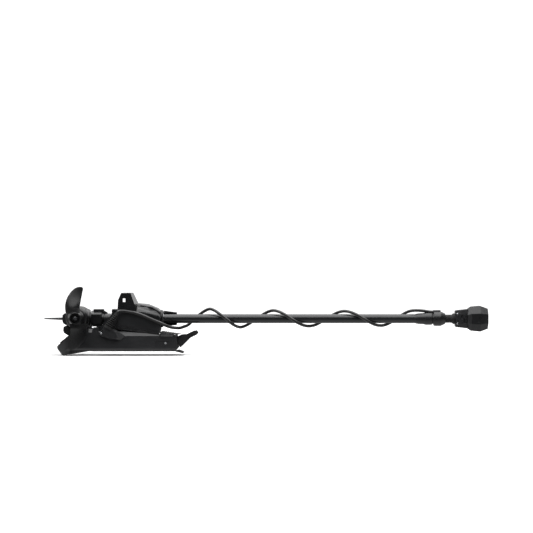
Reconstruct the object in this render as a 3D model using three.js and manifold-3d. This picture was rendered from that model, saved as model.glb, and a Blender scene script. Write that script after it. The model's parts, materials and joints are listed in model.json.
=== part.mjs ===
// Electric trolling motor for the bow of a boat, in its stowed pose: millimetres, +Z up.
// The origin is the centre of the mount's flat deck face, +X runs along the shaft to the control head,
// and -Y is the side that carries the power cable.
import * as THREE from "three";
import { mergeVertices } from "three/addons/utils/BufferGeometryUtils.js";
import { ConvexGeometry } from "three/addons/geometries/ConvexGeometry.js";
import Module from "manifold-3d";

const wasm = await Module();
wasm.setup();

// ---------------------------------------------------------------- driving dimensions
const GAP = 0.3; // clearance between neighbouring pieces
const WALL = 5; // wall of the large castings
const COVER_WALL = 3.5; // wall of the moulded covers

const SHAFT_Z = 149; // height of the shaft axis
const SHAFT_R = 21;
const SHAFT_BORE_R = 16.5;
const SHAFT_X0 = -150;
const SHAFT_X1 = 1440;

const PIVOT_X = -138; // stow pivot, axis along Y
const PIVOT_Z = 85;
const AXLE_R = 6;

const MOUNT_HALF = 88; // half width of the mount
const MOUNT_FRONT = -150; // front edge of the floor plate, where the fork slot starts
const MOUNT_REAR = 200;
const FORK_HALF = 50; // half width of the slot between the fork arms
const FLOOR_T = 6;

const HOUSING_HALF = 75; // half width of the steering housing
const HOUSING_FRONT = -92;
const HOUSING_REAR = 131;
const SLEEVE_R = 26;
const BUSH_R = 32;

const MOTOR_X = -253; // motor axis along Y, square across the shaft and a little above its axis
const MOTOR_Z = 154;
const MOTOR_R = 51;
const MOTOR_NEAR = -85;
const MOTOR_FAR = 95;
const NOSE_TIP = 215;
const PROP_R = 146;
const PROP_Y = -126; // middle of the blades

const GEAR_MODULE = 1.75;
const GEAR_TEETH = 48;
const PINION_TEETH = 12;
const PINION_ANGLE = 60; // degrees from straight up towards +Y
const GEAR_X = 60;
const GEAR_WIDTH = 12;

const CABLE_R = 7;
const CABLE_SIDES = 10;

const COLORS = {
  casting: 0x26272a,
  cover: 0x1d1e20,
  rubber: 0x141415,
  steel: 0x9a9da1,
  shaft: 0x3a3d40,
  bronze: 0x8a6a3a,
  copper: 0x7d4a2c,
  board: 0x1f4a2d,
  prop: 0x2c2d2f,
  cable: 0x101011,
};

// ---------------------------------------------------------------- solids from three.js geometry
// A closed three.js geometry as a manifold-3d solid, turned the right way out.
function solid(geometry) {
  const plain = geometry.clone();
  plain.deleteAttribute("normal");
  plain.deleteAttribute("uv");
  const merged = mergeVertices(plain, 1e-4);
  const index = merged.index.array;
  const kept = [];
  for (let i = 0; i < index.length; i += 3) {
    const [a, b, c] = [index[i], index[i + 1], index[i + 2]];
    if (a !== b && b !== c && a !== c) kept.push(a, b, c);
  }
  const build = (triVerts) =>
    new wasm.Manifold(
      new wasm.Mesh({
        numProp: 3,
        vertProperties: new Float32Array(merged.attributes.position.array),
        triVerts: new Uint32Array(triVerts),
      }),
    );
  const made = build(kept);
  if (made.volume() > 0) return made;
  const turned = [];
  for (let i = 0; i < kept.length; i += 3) turned.push(kept[i], kept[i + 2], kept[i + 1]);
  return build(turned);
}

// A manifold-3d solid as a BufferGeometry.
function geometryOf(made) {
  const mesh = made.getMesh();
  const stride = mesh.numProp;
  const position = new Float32Array(mesh.numVert * 3);
  for (let i = 0; i < mesh.numVert; i++) {
    position.set(mesh.vertProperties.subarray(i * stride, i * stride + 3), i * 3);
  }
  const geometry = new THREE.BufferGeometry();
  geometry.setAttribute("position", new THREE.BufferAttribute(position, 3));
  geometry.setIndex(new THREE.BufferAttribute(mesh.triVerts, 1));
  return geometry;
}

const shapeOf = (points) => new THREE.Shape(points.map(([a, b]) => new THREE.Vector2(a, b)));

const extruded = (points, depth) =>
  new THREE.ExtrudeGeometry(shapeOf(points), { depth, bevelEnabled: false, steps: 1 });

// An outline in the XZ plane, drawn out along Y from y0 to y1.
function alongY(points, y0, y1) {
  const geometry = extruded(points, y1 - y0);
  geometry.rotateX(Math.PI / 2);
  geometry.translate(0, y1, 0);
  return solid(geometry);
}

// An outline in the YZ plane, drawn out along X from x0 to x1.
function alongX(points, x0, x1) {
  const geometry = extruded(points, x1 - x0);
  geometry.applyMatrix4(
    new THREE.Matrix4().makeBasis(
      new THREE.Vector3(0, 1, 0),
      new THREE.Vector3(0, 0, 1),
      new THREE.Vector3(1, 0, 0),
    ),
  );
  geometry.translate(x0, 0, 0);
  return solid(geometry);
}

// An outline in the XY plane, drawn out along Z from z0 to z1.
function alongZ(points, z0, z1) {
  const geometry = extruded(points, z1 - z0);
  geometry.translate(0, 0, z0);
  return solid(geometry);
}

// A profile of [radius, distance along X], turned about the line parallel to X at (y, z).
function turnedX(profile, y = 0, z = SHAFT_Z, sides = 32, start = 0) {
  const points = profile.map(([r, h]) => new THREE.Vector2(r, h));
  const geometry = new THREE.LatheGeometry(points, sides, start);
  geometry.rotateZ(-Math.PI / 2);
  geometry.translate(0, y, z);
  return solid(geometry);
}

// A profile of [radius, distance along Y], turned about the line parallel to Y at (x, z).
function turnedY(profile, x = MOTOR_X, z = MOTOR_Z, sides = 32) {
  const points = profile.map(([r, h]) => new THREE.Vector2(r, h));
  const geometry = new THREE.LatheGeometry(points, sides);
  geometry.translate(x, 0, z);
  return solid(geometry);
}

const tubeProfile = (outer, inner, from, to) => [
  [inner, from],
  [outer, from],
  [outer, to],
  [inner, to],
  [inner, from],
];
const rodProfile = (r, from, to) => [
  [0, from],
  [r, from],
  [r, to],
  [0, to],
];

const box = (x0, x1, y0, y1, z0, z1) => {
  const geometry = new THREE.BoxGeometry(x1 - x0, y1 - y0, z1 - z0);
  geometry.translate((x0 + x1) / 2, (y0 + y1) / 2, (z0 + z1) / 2);
  return solid(geometry);
};

const holeZ = (x, y, r, z0, z1) => {
  const geometry = new THREE.CylinderGeometry(r, r, z1 - z0, 12);
  geometry.rotateX(Math.PI / 2);
  geometry.translate(x, y, (z0 + z1) / 2);
  return solid(geometry);
};

const hull = (points) => solid(new ConvexGeometry(points.map((p) => new THREE.Vector3(...p))));

const joined = (...solids) => solids.reduce((a, b) => a.add(b));

// Two distances from the middle plane as Y limits on one side (-1 near, 1 far), the lower first.
const onSide = (side, a, b) => [a * side, b * side].sort((p, q) => p - q);

// A convex outline, listed anticlockwise, with every edge moved in by a distance.
function inset(points, distance) {
  const edges = points.map(([x0, y0], i) => {
    const [x1, y1] = points[(i + 1) % points.length];
    const length = Math.hypot(x1 - x0, y1 - y0);
    const normal = [-(y1 - y0) / length, (x1 - x0) / length];
    return { normal, offset: normal[0] * x0 + normal[1] * y0 + distance };
  });
  return points.map((_, i) => {
    const a = edges[(i + points.length - 1) % points.length];
    const b = edges[i];
    const det = a.normal[0] * b.normal[1] - a.normal[1] * b.normal[0];
    return [
      (a.offset * b.normal[1] - b.offset * a.normal[1]) / det,
      (a.normal[0] * b.offset - b.normal[0] * a.offset) / det,
    ];
  });
}

// ---------------------------------------------------------------- scene graph
const root = new THREE.Group();
root.name = "trolling_motor";

function add(name, made, color, finish = {}) {
  const { roughness = 0.5, metalness = 0.2 } = finish;
  const material = new THREE.MeshStandardMaterial({ color, roughness, metalness });
  const mesh = new THREE.Mesh(geometryOf(made), material);
  mesh.name = name;
  root.add(mesh);
  return made;
}

const METAL = { roughness: 0.35, metalness: 0.9 };
const SATIN = { roughness: 0.45, metalness: 0.3 };
const SOFT = { roughness: 0.85, metalness: 0 };

// ---------------------------------------------------------------- mount on the deck
// Side outline of the mount: flat deck face, toe that hooks over the bow, walls and rear end.
const MOUNT_OUTLINE = [
  [MOUNT_FRONT - 50, 0],
  [MOUNT_REAR, 0],
  [212, 14],
  [205, 76],
  [180, 67],
  [-100, 67],
  [-125, 90],
  [-150, 94],
  [-158, 103],
  [-203, 104],
  [-211, 90],
  [-260, 88],
  [-283, 79],
  [-292, 69],
  [-340, 29],
  [-347, 20],
  [-341, 7],
  [-317, -19.5],
];
// The toe narrows towards the bow.
const MOUNT_PLAN = [
  [-345, -62],
  [-292, -MOUNT_HALF],
  [300, -MOUNT_HALF],
  [300, MOUNT_HALF],
  [-292, MOUNT_HALF],
  [-345, 62],
];

const SIDE_SECTION = [
  [-76, -20],
  [76, -20],
  [76, 0],
  [MOUNT_HALF, 14],
  [MOUNT_HALF, 88],
  [72, 107],
  [-72, 107],
  [-MOUNT_HALF, 88],
  [-MOUNT_HALF, 14],
  [-76, 0],
];

// Ears on the outer edge of each fork arm: one stands behind the motor and a low one before the pivot.
const EAR_OUTLINES = [
  [
    [-197.5, 88],
    [-197.5, 139],
    [-205, 124],
    [-213, 113],
    [-222, 104],
    [-230, 98],
    [-240, 87],
  ],
  [
    [-150, 88],
    [-153, 111],
    [-174, 112],
    [-180, 104],
    [-182, 88],
  ],
];
const EAR_INNER = 77;

function ears(side) {
  const section = [
    [EAR_INNER, 80],
    [MOUNT_HALF, 80],
    [MOUNT_HALF, 100],
    [EAR_INNER + 4, 140],
    [EAR_INNER, 140],
  ];
  const outer = alongX(section, -260, -140);
  const shape = joined(...EAR_OUTLINES.map((outline) => alongY(outline, EAR_INNER, MOUNT_HALF)));
  const made = shape.intersect(outer);
  return side > 0 ? made : made.mirror([0, 1, 0]);
}

const BUTTON = { x: 157, z: 38, r: 4.5 };
const DECK_HOLES = [-110, 30, 160].flatMap((x) => [-60, 60].map((y) => [x, y]));

function baseFrame() {
  const inner = MOUNT_HALF - WALL;
  const fork = box(-400, MOUNT_FRONT, -FORK_HALF, FORK_HALF, -40, 130);
  const tray = box(MOUNT_FRONT, MOUNT_REAR - 8, -inner, inner, FLOOR_T, 130);
  const cheekRoom = box(-180, MOUNT_FRONT + 1, -CHEEK.outer - 2, CHEEK.outer + 2, 50, 130);
  const recess = box(112, 179, -MOUNT_HALF - 1, -MOUNT_HALF + 2.5, 24, 49);
  let made = alongY(MOUNT_OUTLINE, -MOUNT_HALF, MOUNT_HALF);
  made = made.intersect(alongX(SIDE_SECTION, -400, 300)).intersect(alongZ(MOUNT_PLAN, -40, 130));
  const crestRoom = box(-200, -170, -CHEEK.outer - 2, CHEEK.outer + 2, 85, 130);
  made = made.subtract(joined(fork, tray, cheekRoom, crestRoom, recess));
  made = joined(made, ears(-1), ears(1));
  for (const side of [-1, 1]) {
    const [near, far] = onSide(side, FORK_HALF + 7, inner - 2);
    made = made.subtract(box(-285, -185, near, far, -30, 70));
  }
  for (const [x, y] of DECK_HOLES) made = made.subtract(holeZ(x, y, 4.5, -5, 10));
  made = made.subtract(turnedY(rodProfile(AXLE_R + GAP, -100, 100), PIVOT_X, PIVOT_Z, 20));
  made = made.subtract(turnedY(rodProfile(BUTTON.r + GAP, -100, -60), BUTTON.x, BUTTON.z, 16));
  made = made.subtract(turnedY(rodProfile(4 + GAP, -80, 80), PEDAL_X, PEDAL_Z, 12));
  return made;
}

// Rubber strips that the motor rests on, one on each fork arm.
function rampPad(side) {
  const top = [
    [-212, 89.9],
    [-260, 88],
    [-283, 79],
    [-292, 69],
    [-330, 37.4],
  ];
  const lower = top.map(([x, z]) => [x, z + GAP]);
  const upper = top.map(([x, z], i) => [x - (i > 1 ? 1.5 : 0), z + GAP + 3]).reverse();
  const [near, far] = onSide(side, FORK_HALF + 8, EAR_INNER - 1);
  return alongY([...lower, ...upper], near, far);
}

// Outlines of the cover over the pivot: where it meets the wall, and its flat outer face.
const SIDE_COVER_FOOT = [
  [-150, 80],
  [-135, 68],
  [-99, 57],
  [-53, 52],
  [-25, 70],
  [-76, 104],
  [-104, 112],
  [-124, 118],
];
const SIDE_COVER_FACE = [
  [-147, 81],
  [-133, 71],
  [-98, 61],
  [-72, 59],
  [-60, 68],
  [-80, 98],
  [-104, 109],
  [-122, 115],
];
const SIDE_COVER_T = 16;

function sideCover(side) {
  const foot = [MOUNT_HALF + GAP, MOUNT_HALF + 3].flatMap((y) =>
    SIDE_COVER_FOOT.map(([x, z]) => [x, side * y, z]),
  );
  const face = SIDE_COVER_FACE.map(([x, z]) => [x, side * (MOUNT_HALF + SIDE_COVER_T), z]);
  const screwHole = turnedY(rodProfile(3 + GAP, -120, 120), PIVOT_X, PIVOT_Z, 12);
  return hull([...foot, ...face]).subtract(screwHole);
}

const pivotAxle = () => turnedY(rodProfile(AXLE_R, -MOUNT_HALF, MOUNT_HALF), PIVOT_X, PIVOT_Z, 20);

function pivotScrew() {
  const end = -(MOUNT_HALF + GAP);
  const outer = -(MOUNT_HALF + SIDE_COVER_T);
  return turnedY(
    [
      [0, outer - 4.5],
      [4, outer - 4.5],
      [5.5, outer - 3],
      [5.5, outer - GAP],
      [3, outer - GAP],
      [3, end],
      [0, end],
    ],
    PIVOT_X,
    PIVOT_Z,
    16,
  );
}

// Raised cover between the walls, with a slot that the striker plate drops through.
const baseTopCover = () => {
  const half = MOUNT_HALF - WALL - GAP;
  const outline = [
    [-86, 60],
    [126, 60],
    [126, 74],
    [118, 77.5],
    [-72, 100],
    [-80, 100],
    [-86, 95],
  ];
  const hollow = [
    [-82, 50],
    [122, 50],
    [122, 70],
    [116, 73.5],
    [-72, 96],
    [-78, 96],
    [-82, 93],
  ];
  const crown = [
    [-half, 40],
    [half, 40],
    [half, 71],
    [62, 101],
    [-62, 101],
    [-half, 71],
  ];
  const inside = alongY(hollow, -half, half).intersect(alongX(inset(crown, COVER_WALL), -90, 130));
  return alongY(outline, -half, half)
    .intersect(alongX(crown, -90, 130))
    .subtract(inside)
    .subtract(box(-90, 130, -half + COVER_WALL, half - COVER_WALL, 30, 62))
    .subtract(box(101, 119, -18, 18, 45, 110));
};

const rearStepPad = () => {
  const half = MOUNT_HALF - WALL - GAP;
  const outline = [
    [128, 64],
    [190, 64],
    [190, 77.5],
    [226, 78],
    [138, 92],
    [128, 88],
  ];
  const crown = [
    [-half, 60],
    [half, 60],
    [half, 71],
    [45, 85],
    [20, 92],
    [-20, 92],
    [-45, 85],
    [-half, 71],
  ];
  const underside = box(132, 188, -half + 6, half - 6, 50, 72);
  return alongY(outline, -half, half).intersect(alongX(crown, 100, 240)).subtract(underside);
};

const REAR_FOOT_OUTLINE = [
  [201, -0.8],
  [237, -9],
  [238, -6],
  [213, 4],
  [201, 0.5],
];
const rearFoot = () => {
  const mountRoom = alongY(MOUNT_OUTLINE.map(([x, z]) => [x + GAP, z - GAP / 4]), -90, 90);
  return alongY(REAR_FOOT_OUTLINE, -70, 70).subtract(mountRoom);
};

// ---------------------------------------------------------------- release pedal and latch
const PEDAL_X = 196;
const PEDAL_Z = 52;
const PEDAL_HALF = 34;
const LATCH = { nose: 113, tail: 176, z: 44, half: 6 };

// The pedal sticks out behind the mount through a notch in its rear wall.
const PEDAL_OUTLINE = [
  [188, 44],
  [204, 44],
  [223, 16],
  [238, 30],
  [270, 62],
  [284, 68],
  [276, 90],
  [252, 78],
  [229, 76],
  [206, 66],
  [188, 62],
];

const pedal = () =>
  alongY(PEDAL_OUTLINE, -PEDAL_HALF, PEDAL_HALF).subtract(
    turnedY(rodProfile(4 + GAP, -80, 80), PEDAL_X, PEDAL_Z, 12),
  );

const PEDAL_PAD_OUTLINE = [
  [284.4, 68.2],
  [297, 74],
  [306, 84],
  [297, 95],
  [281, 92.2],
  [276.4, 90.2],
];
const pedalPad = () => alongY(PEDAL_PAD_OUTLINE, -PEDAL_HALF, PEDAL_HALF);

const pedalNotch = () => box(186, 230, -PEDAL_HALF - 1, PEDAL_HALF + 1, 8, 100);

const latchBolt = () =>
  joined(
    box(LATCH.nose, LATCH.tail, -LATCH.half, LATCH.half, LATCH.z - 5, LATCH.z + 5),
    box(140, 146, -12, 12, LATCH.z - 8, LATCH.z + 8),
  );

function latchSpring() {
  const outer = 11;
  return turnedX(tubeProfile(outer, LATCH.half + 3.5, 146 + GAP, 168), 0, LATCH.z, 16);
}

const strikerPlate = () => {
  const plate = box(106, 111, -14, 14, 34, 81);
  const window_ = box(100, 120, -8, 8, LATCH.z - 7, LATCH.z + 7);
  return plate.subtract(window_);
};

const powerButton = () =>
  turnedY(
    [
      [0, -89],
      [BUTTON.r - 0.5, -89],
      [BUTTON.r, -88.3],
      [BUTTON.r, -76],
      [0, -76],
    ],
    BUTTON.x,
    BUTTON.z,
    16,
  );

// ---------------------------------------------------------------- steering housing
const HOUSING_OUTLINE = [
  [HOUSING_FRONT, 108],
  [-80, 105],
  [122, 80],
  [129, 95],
  [HOUSING_REAR, 118],
  [HOUSING_REAR, 128],
  [18, 176],
  [-66, 192],
  [HOUSING_FRONT, 194],
];
const CHEEK = { inner: 53, outer: 71, r: 22 };

const circle = (x, z, r, sides, from = 0, to = 360) =>
  Array.from({ length: sides + 1 }, (_, i) => {
    const angle = THREE.MathUtils.degToRad(from + ((to - from) * i) / sides);
    return [x + r * Math.cos(angle), z + r * Math.sin(angle)];
  });

function cheek(side) {
  const outline = [...circle(PIVOT_X, PIVOT_Z, CHEEK.r, 12, 120, 290), [-84, 100], [-84, 172], [-92, 172]];
  const [near, far] = onSide(side, CHEEK.inner, CHEEK.outer);
  return alongY(outline, near, far);
}

function steeringHousing() {
  const inner = [
    [HOUSING_FRONT + 7, 115],
    [-78, 111],
    [118, 87],
    [124, 97],
    [HOUSING_REAR - 6, 118],
    [HOUSING_REAR - 6, 150],
    [18, 220],
    [-61, 220],
    [-61, 187],
    [HOUSING_FRONT + 7, 187],
  ];
  const half = HOUSING_HALF - WALL;
  let made = alongY(HOUSING_OUTLINE, -HOUSING_HALF, HOUSING_HALF);
  made = made.subtract(alongY(inner, -half, half));
  made = joined(made, cheek(-1), cheek(1));
  made = made.subtract(turnedX(rodProfile(BUSH_R + GAP, HOUSING_FRONT - 10, HOUSING_REAR + 10)));
  made = made.subtract(turnedY(rodProfile(AXLE_R + GAP, -100, 100), PIVOT_X, PIVOT_Z, 20));
  return made;
}

const SLIT_DEPTH = 2; // depth of the groove above the rope slot
const TOWER_OUTLINE = [
  [-65.5, 192 + GAP],
  [18, 176 + GAP],
  [22, 192],
  [-5, 269],
  [-49, 269],
  [-63, 237],
];
// On the far side the tower also bulges towards the barrel.
const TOWER_FAR_OUTLINE = [...TOWER_OUTLINE.slice(0, 3), [21, 220], [-3, 269], ...TOWER_OUTLINE.slice(4)];

function towerCover() {
  const half = HOUSING_HALF;
  const outer = hull([
    ...TOWER_OUTLINE.map(([x, z]) => [x, -half, z]),
    ...TOWER_FAR_OUTLINE.map(([x, z]) => [x, half, z]),
  ]);
  const hollow = inset(TOWER_OUTLINE, COVER_WALL).map(([x, z]) => [x, z < 200 ? z - 8 : z]);
  const ropeSlot = alongZ([[-40, -100], [-29, -100], [-29, 100], [-55, 100], [-44, 0]], 225, 244);
  const slits = [-1, 1].map((side) => {
    const [near, far] = onSide(side, half - SLIT_DEPTH, half + 1);
    return box(-35.2, -32.8, near, far, 243, 280);
  });
  return outer
    .subtract(alongY(hollow, -half + COVER_WALL, half - COVER_WALL))
    .subtract(ropeSlot)
    .subtract(joined(...slits));
}

const BARREL_PROFILE = [
  [18, 176 + GAP],
  [HOUSING_REAR, 128 + GAP],
  [HOUSING_REAR, 184],
  [117, 197],
  [70, 217],
  [24, 221],
  [22.5, 192],
];
const BARREL_SECTION = [
  [-74, 60],
  [74, 60],
  [74, 152],
  [66, 182],
  [48, 206],
  [26, 221],
  [-26, 221],
  [-48, 206],
  [-66, 182],
  [-74, 152],
];

function barrelCover() {
  const half = HOUSING_HALF - 1;
  const outer = alongY(BARREL_PROFILE, -half, half).intersect(alongX(BARREL_SECTION, 0, 160));
  const profile = inset(BARREL_PROFILE, COVER_WALL).map(([x, z], i) => (i < 2 ? [x, z - 12] : [x, z]));
  const section = inset(BARREL_SECTION, COVER_WALL);
  const hollow = alongY(profile, -half, half).intersect(alongX(section, 0, 160));
  const bore = turnedX(rodProfile(BUSH_R + GAP, 0, 160));
  return outer.subtract(hollow).subtract(bore);
}

const rearEndRing = () =>
  turnedX(
    [
      [SLEEVE_R + 1, HOUSING_REAR + GAP],
      [42, HOUSING_REAR + GAP],
      [41, 138],
      [34, 143],
      [SLEEVE_R + 1, 143],
      [SLEEVE_R + 1, HOUSING_REAR + GAP],
    ],
    0,
    SHAFT_Z,
    16,
    Math.PI / 16,
  );

// Half sleeve on the far side that guides the shaft where it leaves the housing.
function exitGuide() {
  const ring = turnedX(
    [
      [SHAFT_R + 3, 144],
      [SHAFT_R + 17, 144],
      [SHAFT_R + 13, 175],
      [SHAFT_R + 9, 205],
      [SHAFT_R + 3, 205],
      [SHAFT_R + 3, 144],
    ],
    0,
    SHAFT_Z,
    24,
  );
  return ring.intersect(box(140, 210, 3, 60, 90, 210));
}

const bush = (x0, x1) => turnedX(tubeProfile(BUSH_R, SLEEVE_R + GAP, x0, x1), 0, SHAFT_Z, 24);

const SERVO = { x0: 76, x1: 110, r: 14.5 };
const GEAR_DISTANCE = (GEAR_MODULE * (GEAR_TEETH + PINION_TEETH)) / 2;
const PINION_RAD = THREE.MathUtils.degToRad(PINION_ANGLE);
const PINION_Y = GEAR_DISTANCE * Math.sin(PINION_RAD);
const PINION_Z = SHAFT_Z + GEAR_DISTANCE * Math.cos(PINION_RAD);

// Outline of a spur gear about (cy, cz) with one tooth, or one gap, pointing along `angle`.
function gearOutline(teeth, cy, cz, angle, gapFirst) {
  const pitchR = (GEAR_MODULE * teeth) / 2;
  const step = (2 * Math.PI) / teeth;
  const shift = gapFirst ? step / 2 : 0;
  const corners = [
    [pitchR - 1.15 * GEAR_MODULE, -0.29],
    [pitchR + 0.85 * GEAR_MODULE, -0.1],
    [pitchR + 0.85 * GEAR_MODULE, 0.1],
    [pitchR - 1.15 * GEAR_MODULE, 0.29],
  ];
  return Array.from({ length: teeth }, (_, i) => i).flatMap((i) =>
    corners.map(([r, share]) => {
      const a = angle + shift + step * (i + share);
      return [cy + r * Math.cos(a), cz + r * Math.sin(a)];
    }),
  );
}

const steeringGear = () => {
  const towardsPinion = Math.PI / 2 - PINION_RAD;
  const outline = gearOutline(GEAR_TEETH, 0, SHAFT_Z, towardsPinion, false);
  const blank = alongX(outline, GEAR_X, GEAR_X + GEAR_WIDTH);
  return blank.subtract(turnedX(rodProfile(SLEEVE_R + GAP, 0, 100)));
};

function pinionGear() {
  const towardsGear = -Math.PI / 2 - PINION_RAD;
  const teeth = alongX(
    gearOutline(PINION_TEETH, PINION_Y, PINION_Z, towardsGear, true),
    GEAR_X - 0.5,
    GEAR_X + GEAR_WIDTH + 0.5,
  );
  return teeth.add(turnedX(rodProfile(3.5, GEAR_X + 2, SERVO.x0 + 12), PINION_Y, PINION_Z, 12));
}

// Servo motor can with its shaft hole facing the pinion.
const servoMotor = () =>
  turnedX(
    [
      [4.5, SERVO.x0],
      [SERVO.r - 1.5, SERVO.x0],
      [SERVO.r, SERVO.x0 + 4],
      [SERVO.r, SERVO.x1],
      [0, SERVO.x1],
      [0, SERVO.x0 + 14],
      [4.5, SERVO.x0 + 14],
      [4.5, SERVO.x0],
    ],
    PINION_Y,
    PINION_Z,
    20,
  );

// ---------------------------------------------------------------- sleeve and shaft
const steeringSleeve = () => turnedX(tubeProfile(SLEEVE_R, SHAFT_R + 0.5, HOUSING_FRONT - 3, 143.6));

const mainShaft = () => turnedX(tubeProfile(SHAFT_R, SHAFT_BORE_R, SHAFT_X0, SHAFT_X1));

const motorBlank = () => turnedY(rodProfile(MOTOR_R + GAP, -120, 120));

function motorNeck() {
  const outer = turnedX(
    [
      [0, -240],
      [44, -240],
      [47, -214],
      [45, -204],
      [42, -198],
      [42, -191],
      [38.5, -188],
      [38.5, -150],
      [36, -134],
      [0, -134],
    ],
    0,
    SHAFT_Z,
    24,
  );
  const socket = turnedX(rodProfile(SHAFT_R + GAP, SHAFT_X0 - GAP, -100));
  const wireWay = turnedX(rodProfile(8, -300, -120), 0, SHAFT_Z, 12);
  return outer.subtract(motorBlank()).subtract(socket).subtract(wireWay);
}

const neckClamp = () => {
  const neckRoom = turnedX(rodProfile(38.5 + GAP, -200, -100), 0, SHAFT_Z, 24);
  return box(-181, -134.5, -22, 22, 172, 193.5).subtract(neckRoom);
};

// Collar that holds the neck on the shaft, with a small lug on top.
const neckCollar = () => {
  const ring = turnedX(
    [
      [SHAFT_R + GAP, -133.6],
      [24, -133.6],
      [24.5, -112],
      [24, -97],
      [SHAFT_R + GAP, -97],
      [SHAFT_R + GAP, -133.6],
    ],
    0,
    SHAFT_Z,
    24,
  );
  const lug = alongY([[-133.6, 172], [-117, 172], [-117, 178], [-133.6, 187]], -6, 6);
  return ring.add(lug);
};

// ---------------------------------------------------------------- motor and propeller
const motorHousing = () => {
  const wireWay = turnedX(rodProfile(7, -220, -190), 0, SHAFT_Z, 12);
  return turnedY(tubeProfile(MOTOR_R, MOTOR_R - 5, MOTOR_NEAR, MOTOR_FAR)).subtract(wireWay);
};

const endBell = () =>
  turnedY([
    [9, -98],
    [38, -98],
    [44, -95],
    [MOTOR_R, MOTOR_NEAR - GAP],
    [MOTOR_R - 5 - GAP, MOTOR_NEAR - GAP],
    [MOTOR_R - 5 - GAP, -74],
    [18.3, -74],
    [18.3, -86.5],
    [13, -86.5],
    [13, -92],
    [9, -92],
    [9, -98],
  ]);

// Points of an ogive from its base at y = from to its tip on the axis.
function ogive(radius, from, tip) {
  const steps = 10;
  return Array.from({ length: steps + 1 }, (_, i) => {
    const t = i / steps;
    return [i === steps ? 0 : radius * Math.sqrt(1 - t ** 2.2), from + (tip - from) * t];
  });
}

// Hollow nose with a spigot that carries the inner bearing.
function noseCone() {
  const from = MOTOR_FAR + GAP;
  const spigot = [
    [12, 79],
    [17.8, 79],
    [17.8, 68],
    [MOTOR_R - 5 - GAP, 68],
    [MOTOR_R - 5 - GAP, from],
  ];
  const hollow = ogive(MOTOR_R - 7, from, NOSE_TIP - 12).reverse();
  return turnedY([...hollow, [MOTOR_R - 10, 82], [12, 82], ...spigot, ...ogive(MOTOR_R, from, NOSE_TIP)]);
}

const SKEG = { root: -322.3, tip: -411, rootHalf: 5, tipHalf: 2 };

const skeg = () =>
  hull([
    ...[-52, 58].flatMap((y) => [-1, 1].map((up) => [SKEG.root, y, SHAFT_Z + up * SKEG.rootHalf])),
    ...[-12, 50].flatMap((y) => [-1, 1].map((up) => [SKEG.tip, y, SHAFT_Z + up * SKEG.tipHalf])),
  ]);

const FAIRING_OUTLINE = [
  [-322, 139],
  [-318, 128],
  [-306, 121],
  [-296, 117],
  [-296, 178],
  [-312, 175],
  [-322, 166],
];
const skegFairing = () => alongY(FAIRING_OUTLINE, -52, 58).subtract(motorBlank());

const POD_OUTLINE = [
  [-320, 95],
  [-317, 84],
  [-297, 72],
  [-288, 77],
  [-281, 101],
  [-291, 112],
  [-297, 116],
  [-310, 117],
  [-319, 110],
];
const sonarPod = () => alongY(POD_OUTLINE, -42, 42).subtract(motorBlank());

const BLADE_EDGE = [
  [18, 26],
  [18, 53],
  [20, 76],
  [25, 102],
  [29, 125],
  [32, 136],
  [29, 142],
  [22, 144.3],
  [11, 143.5],
  [-3, 138],
  [-17, 127],
  [-30, 111],
  [-39, 95],
  [-46, 70],
  [-48, 47],
  [-44, 26],
];
const BLADE_T = 5;
const BLADE_TWIST = -32; // depth per millimetre of chord, times the radius
const BLADE_RAKE = 0.32;

// One blade: a flat outline whose chord is twisted more near the hub than at the tip.
function blade(turn) {
  const geometry = extruded(BLADE_EDGE, BLADE_T);
  geometry.rotateX(Math.PI / 2);
  geometry.translate(0, PROP_Y + BLADE_T / 2, 0);
  const position = geometry.attributes.position;
  for (let i = 0; i < position.count; i++) {
    const [x, z] = [position.getX(i), position.getZ(i)];
    const radius = Math.max(z, 46);
    const middle = -14 + BLADE_RAKE * (radius - 53);
    position.setY(i, position.getY(i) + ((x - middle) * BLADE_TWIST) / radius);
  }
  geometry.rotateY(turn);
  geometry.translate(MOTOR_X, 0, MOTOR_Z);
  return solid(geometry);
}

function propeller() {
  const hub = turnedY([
    [8.3, -99],
    [38, -99],
    [38, -112],
    [35, -128],
    [27, -147],
    [26, -150],
    [20, -150],
    [20, -138],
    [8.3, -138],
    [8.3, -99],
  ]);
  const room = turnedY(rodProfile(30, -170, -80));
  const pinSlot = box(MOTOR_X - 15, MOTOR_X + 15, -104.5, -98, MOTOR_Z - 2.5, MOTOR_Z + 2.5);
  const blades = joined(blade(0), blade(Math.PI)).subtract(room);
  return hub.add(blades).subtract(pinSlot);
}

const propShaft = () =>
  turnedY(
    [
      [0, -162],
      [4.5, -162],
      [4.5, -139],
      [8, -139],
      [8, 84],
      [0, 84],
    ],
    MOTOR_X,
    MOTOR_Z,
    20,
  ).subtract(box(MOTOR_X - 15, MOTOR_X + 15, -104, -99.2, MOTOR_Z - 2.3, MOTOR_Z + 2.3));

const drivePin = () => box(MOTOR_X - 13.5, MOTOR_X + 13.5, -103.6, -99.6, MOTOR_Z - 2, MOTOR_Z + 2);

const propNut = () =>
  turnedY(
    [
      [0, -139.3],
      [11, -139.3],
      [11, -152],
      [6, -158],
      [6, -166],
      [4, -169],
      [0, -169],
    ],
    MOTOR_X,
    MOTOR_Z,
    6,
  ).subtract(turnedY(rodProfile(5, -163, -130), MOTOR_X, MOTOR_Z, 20));

const rotor = () => turnedY(tubeProfile(29, 8 + GAP, -50, 62), MOTOR_X, MOTOR_Z, 24);
const stator = () => turnedY(tubeProfile(MOTOR_R - 5 - GAP, 30.5, -48, 60));
const bearing = (y0, y1, outer) => turnedY(tubeProfile(outer, 8.3, y0, y1), MOTOR_X, MOTOR_Z, 20);
const shaftSeal = () => turnedY(tubeProfile(12.7, 8.3, -91.7, -87), MOTOR_X, MOTOR_Z, 20);

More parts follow.
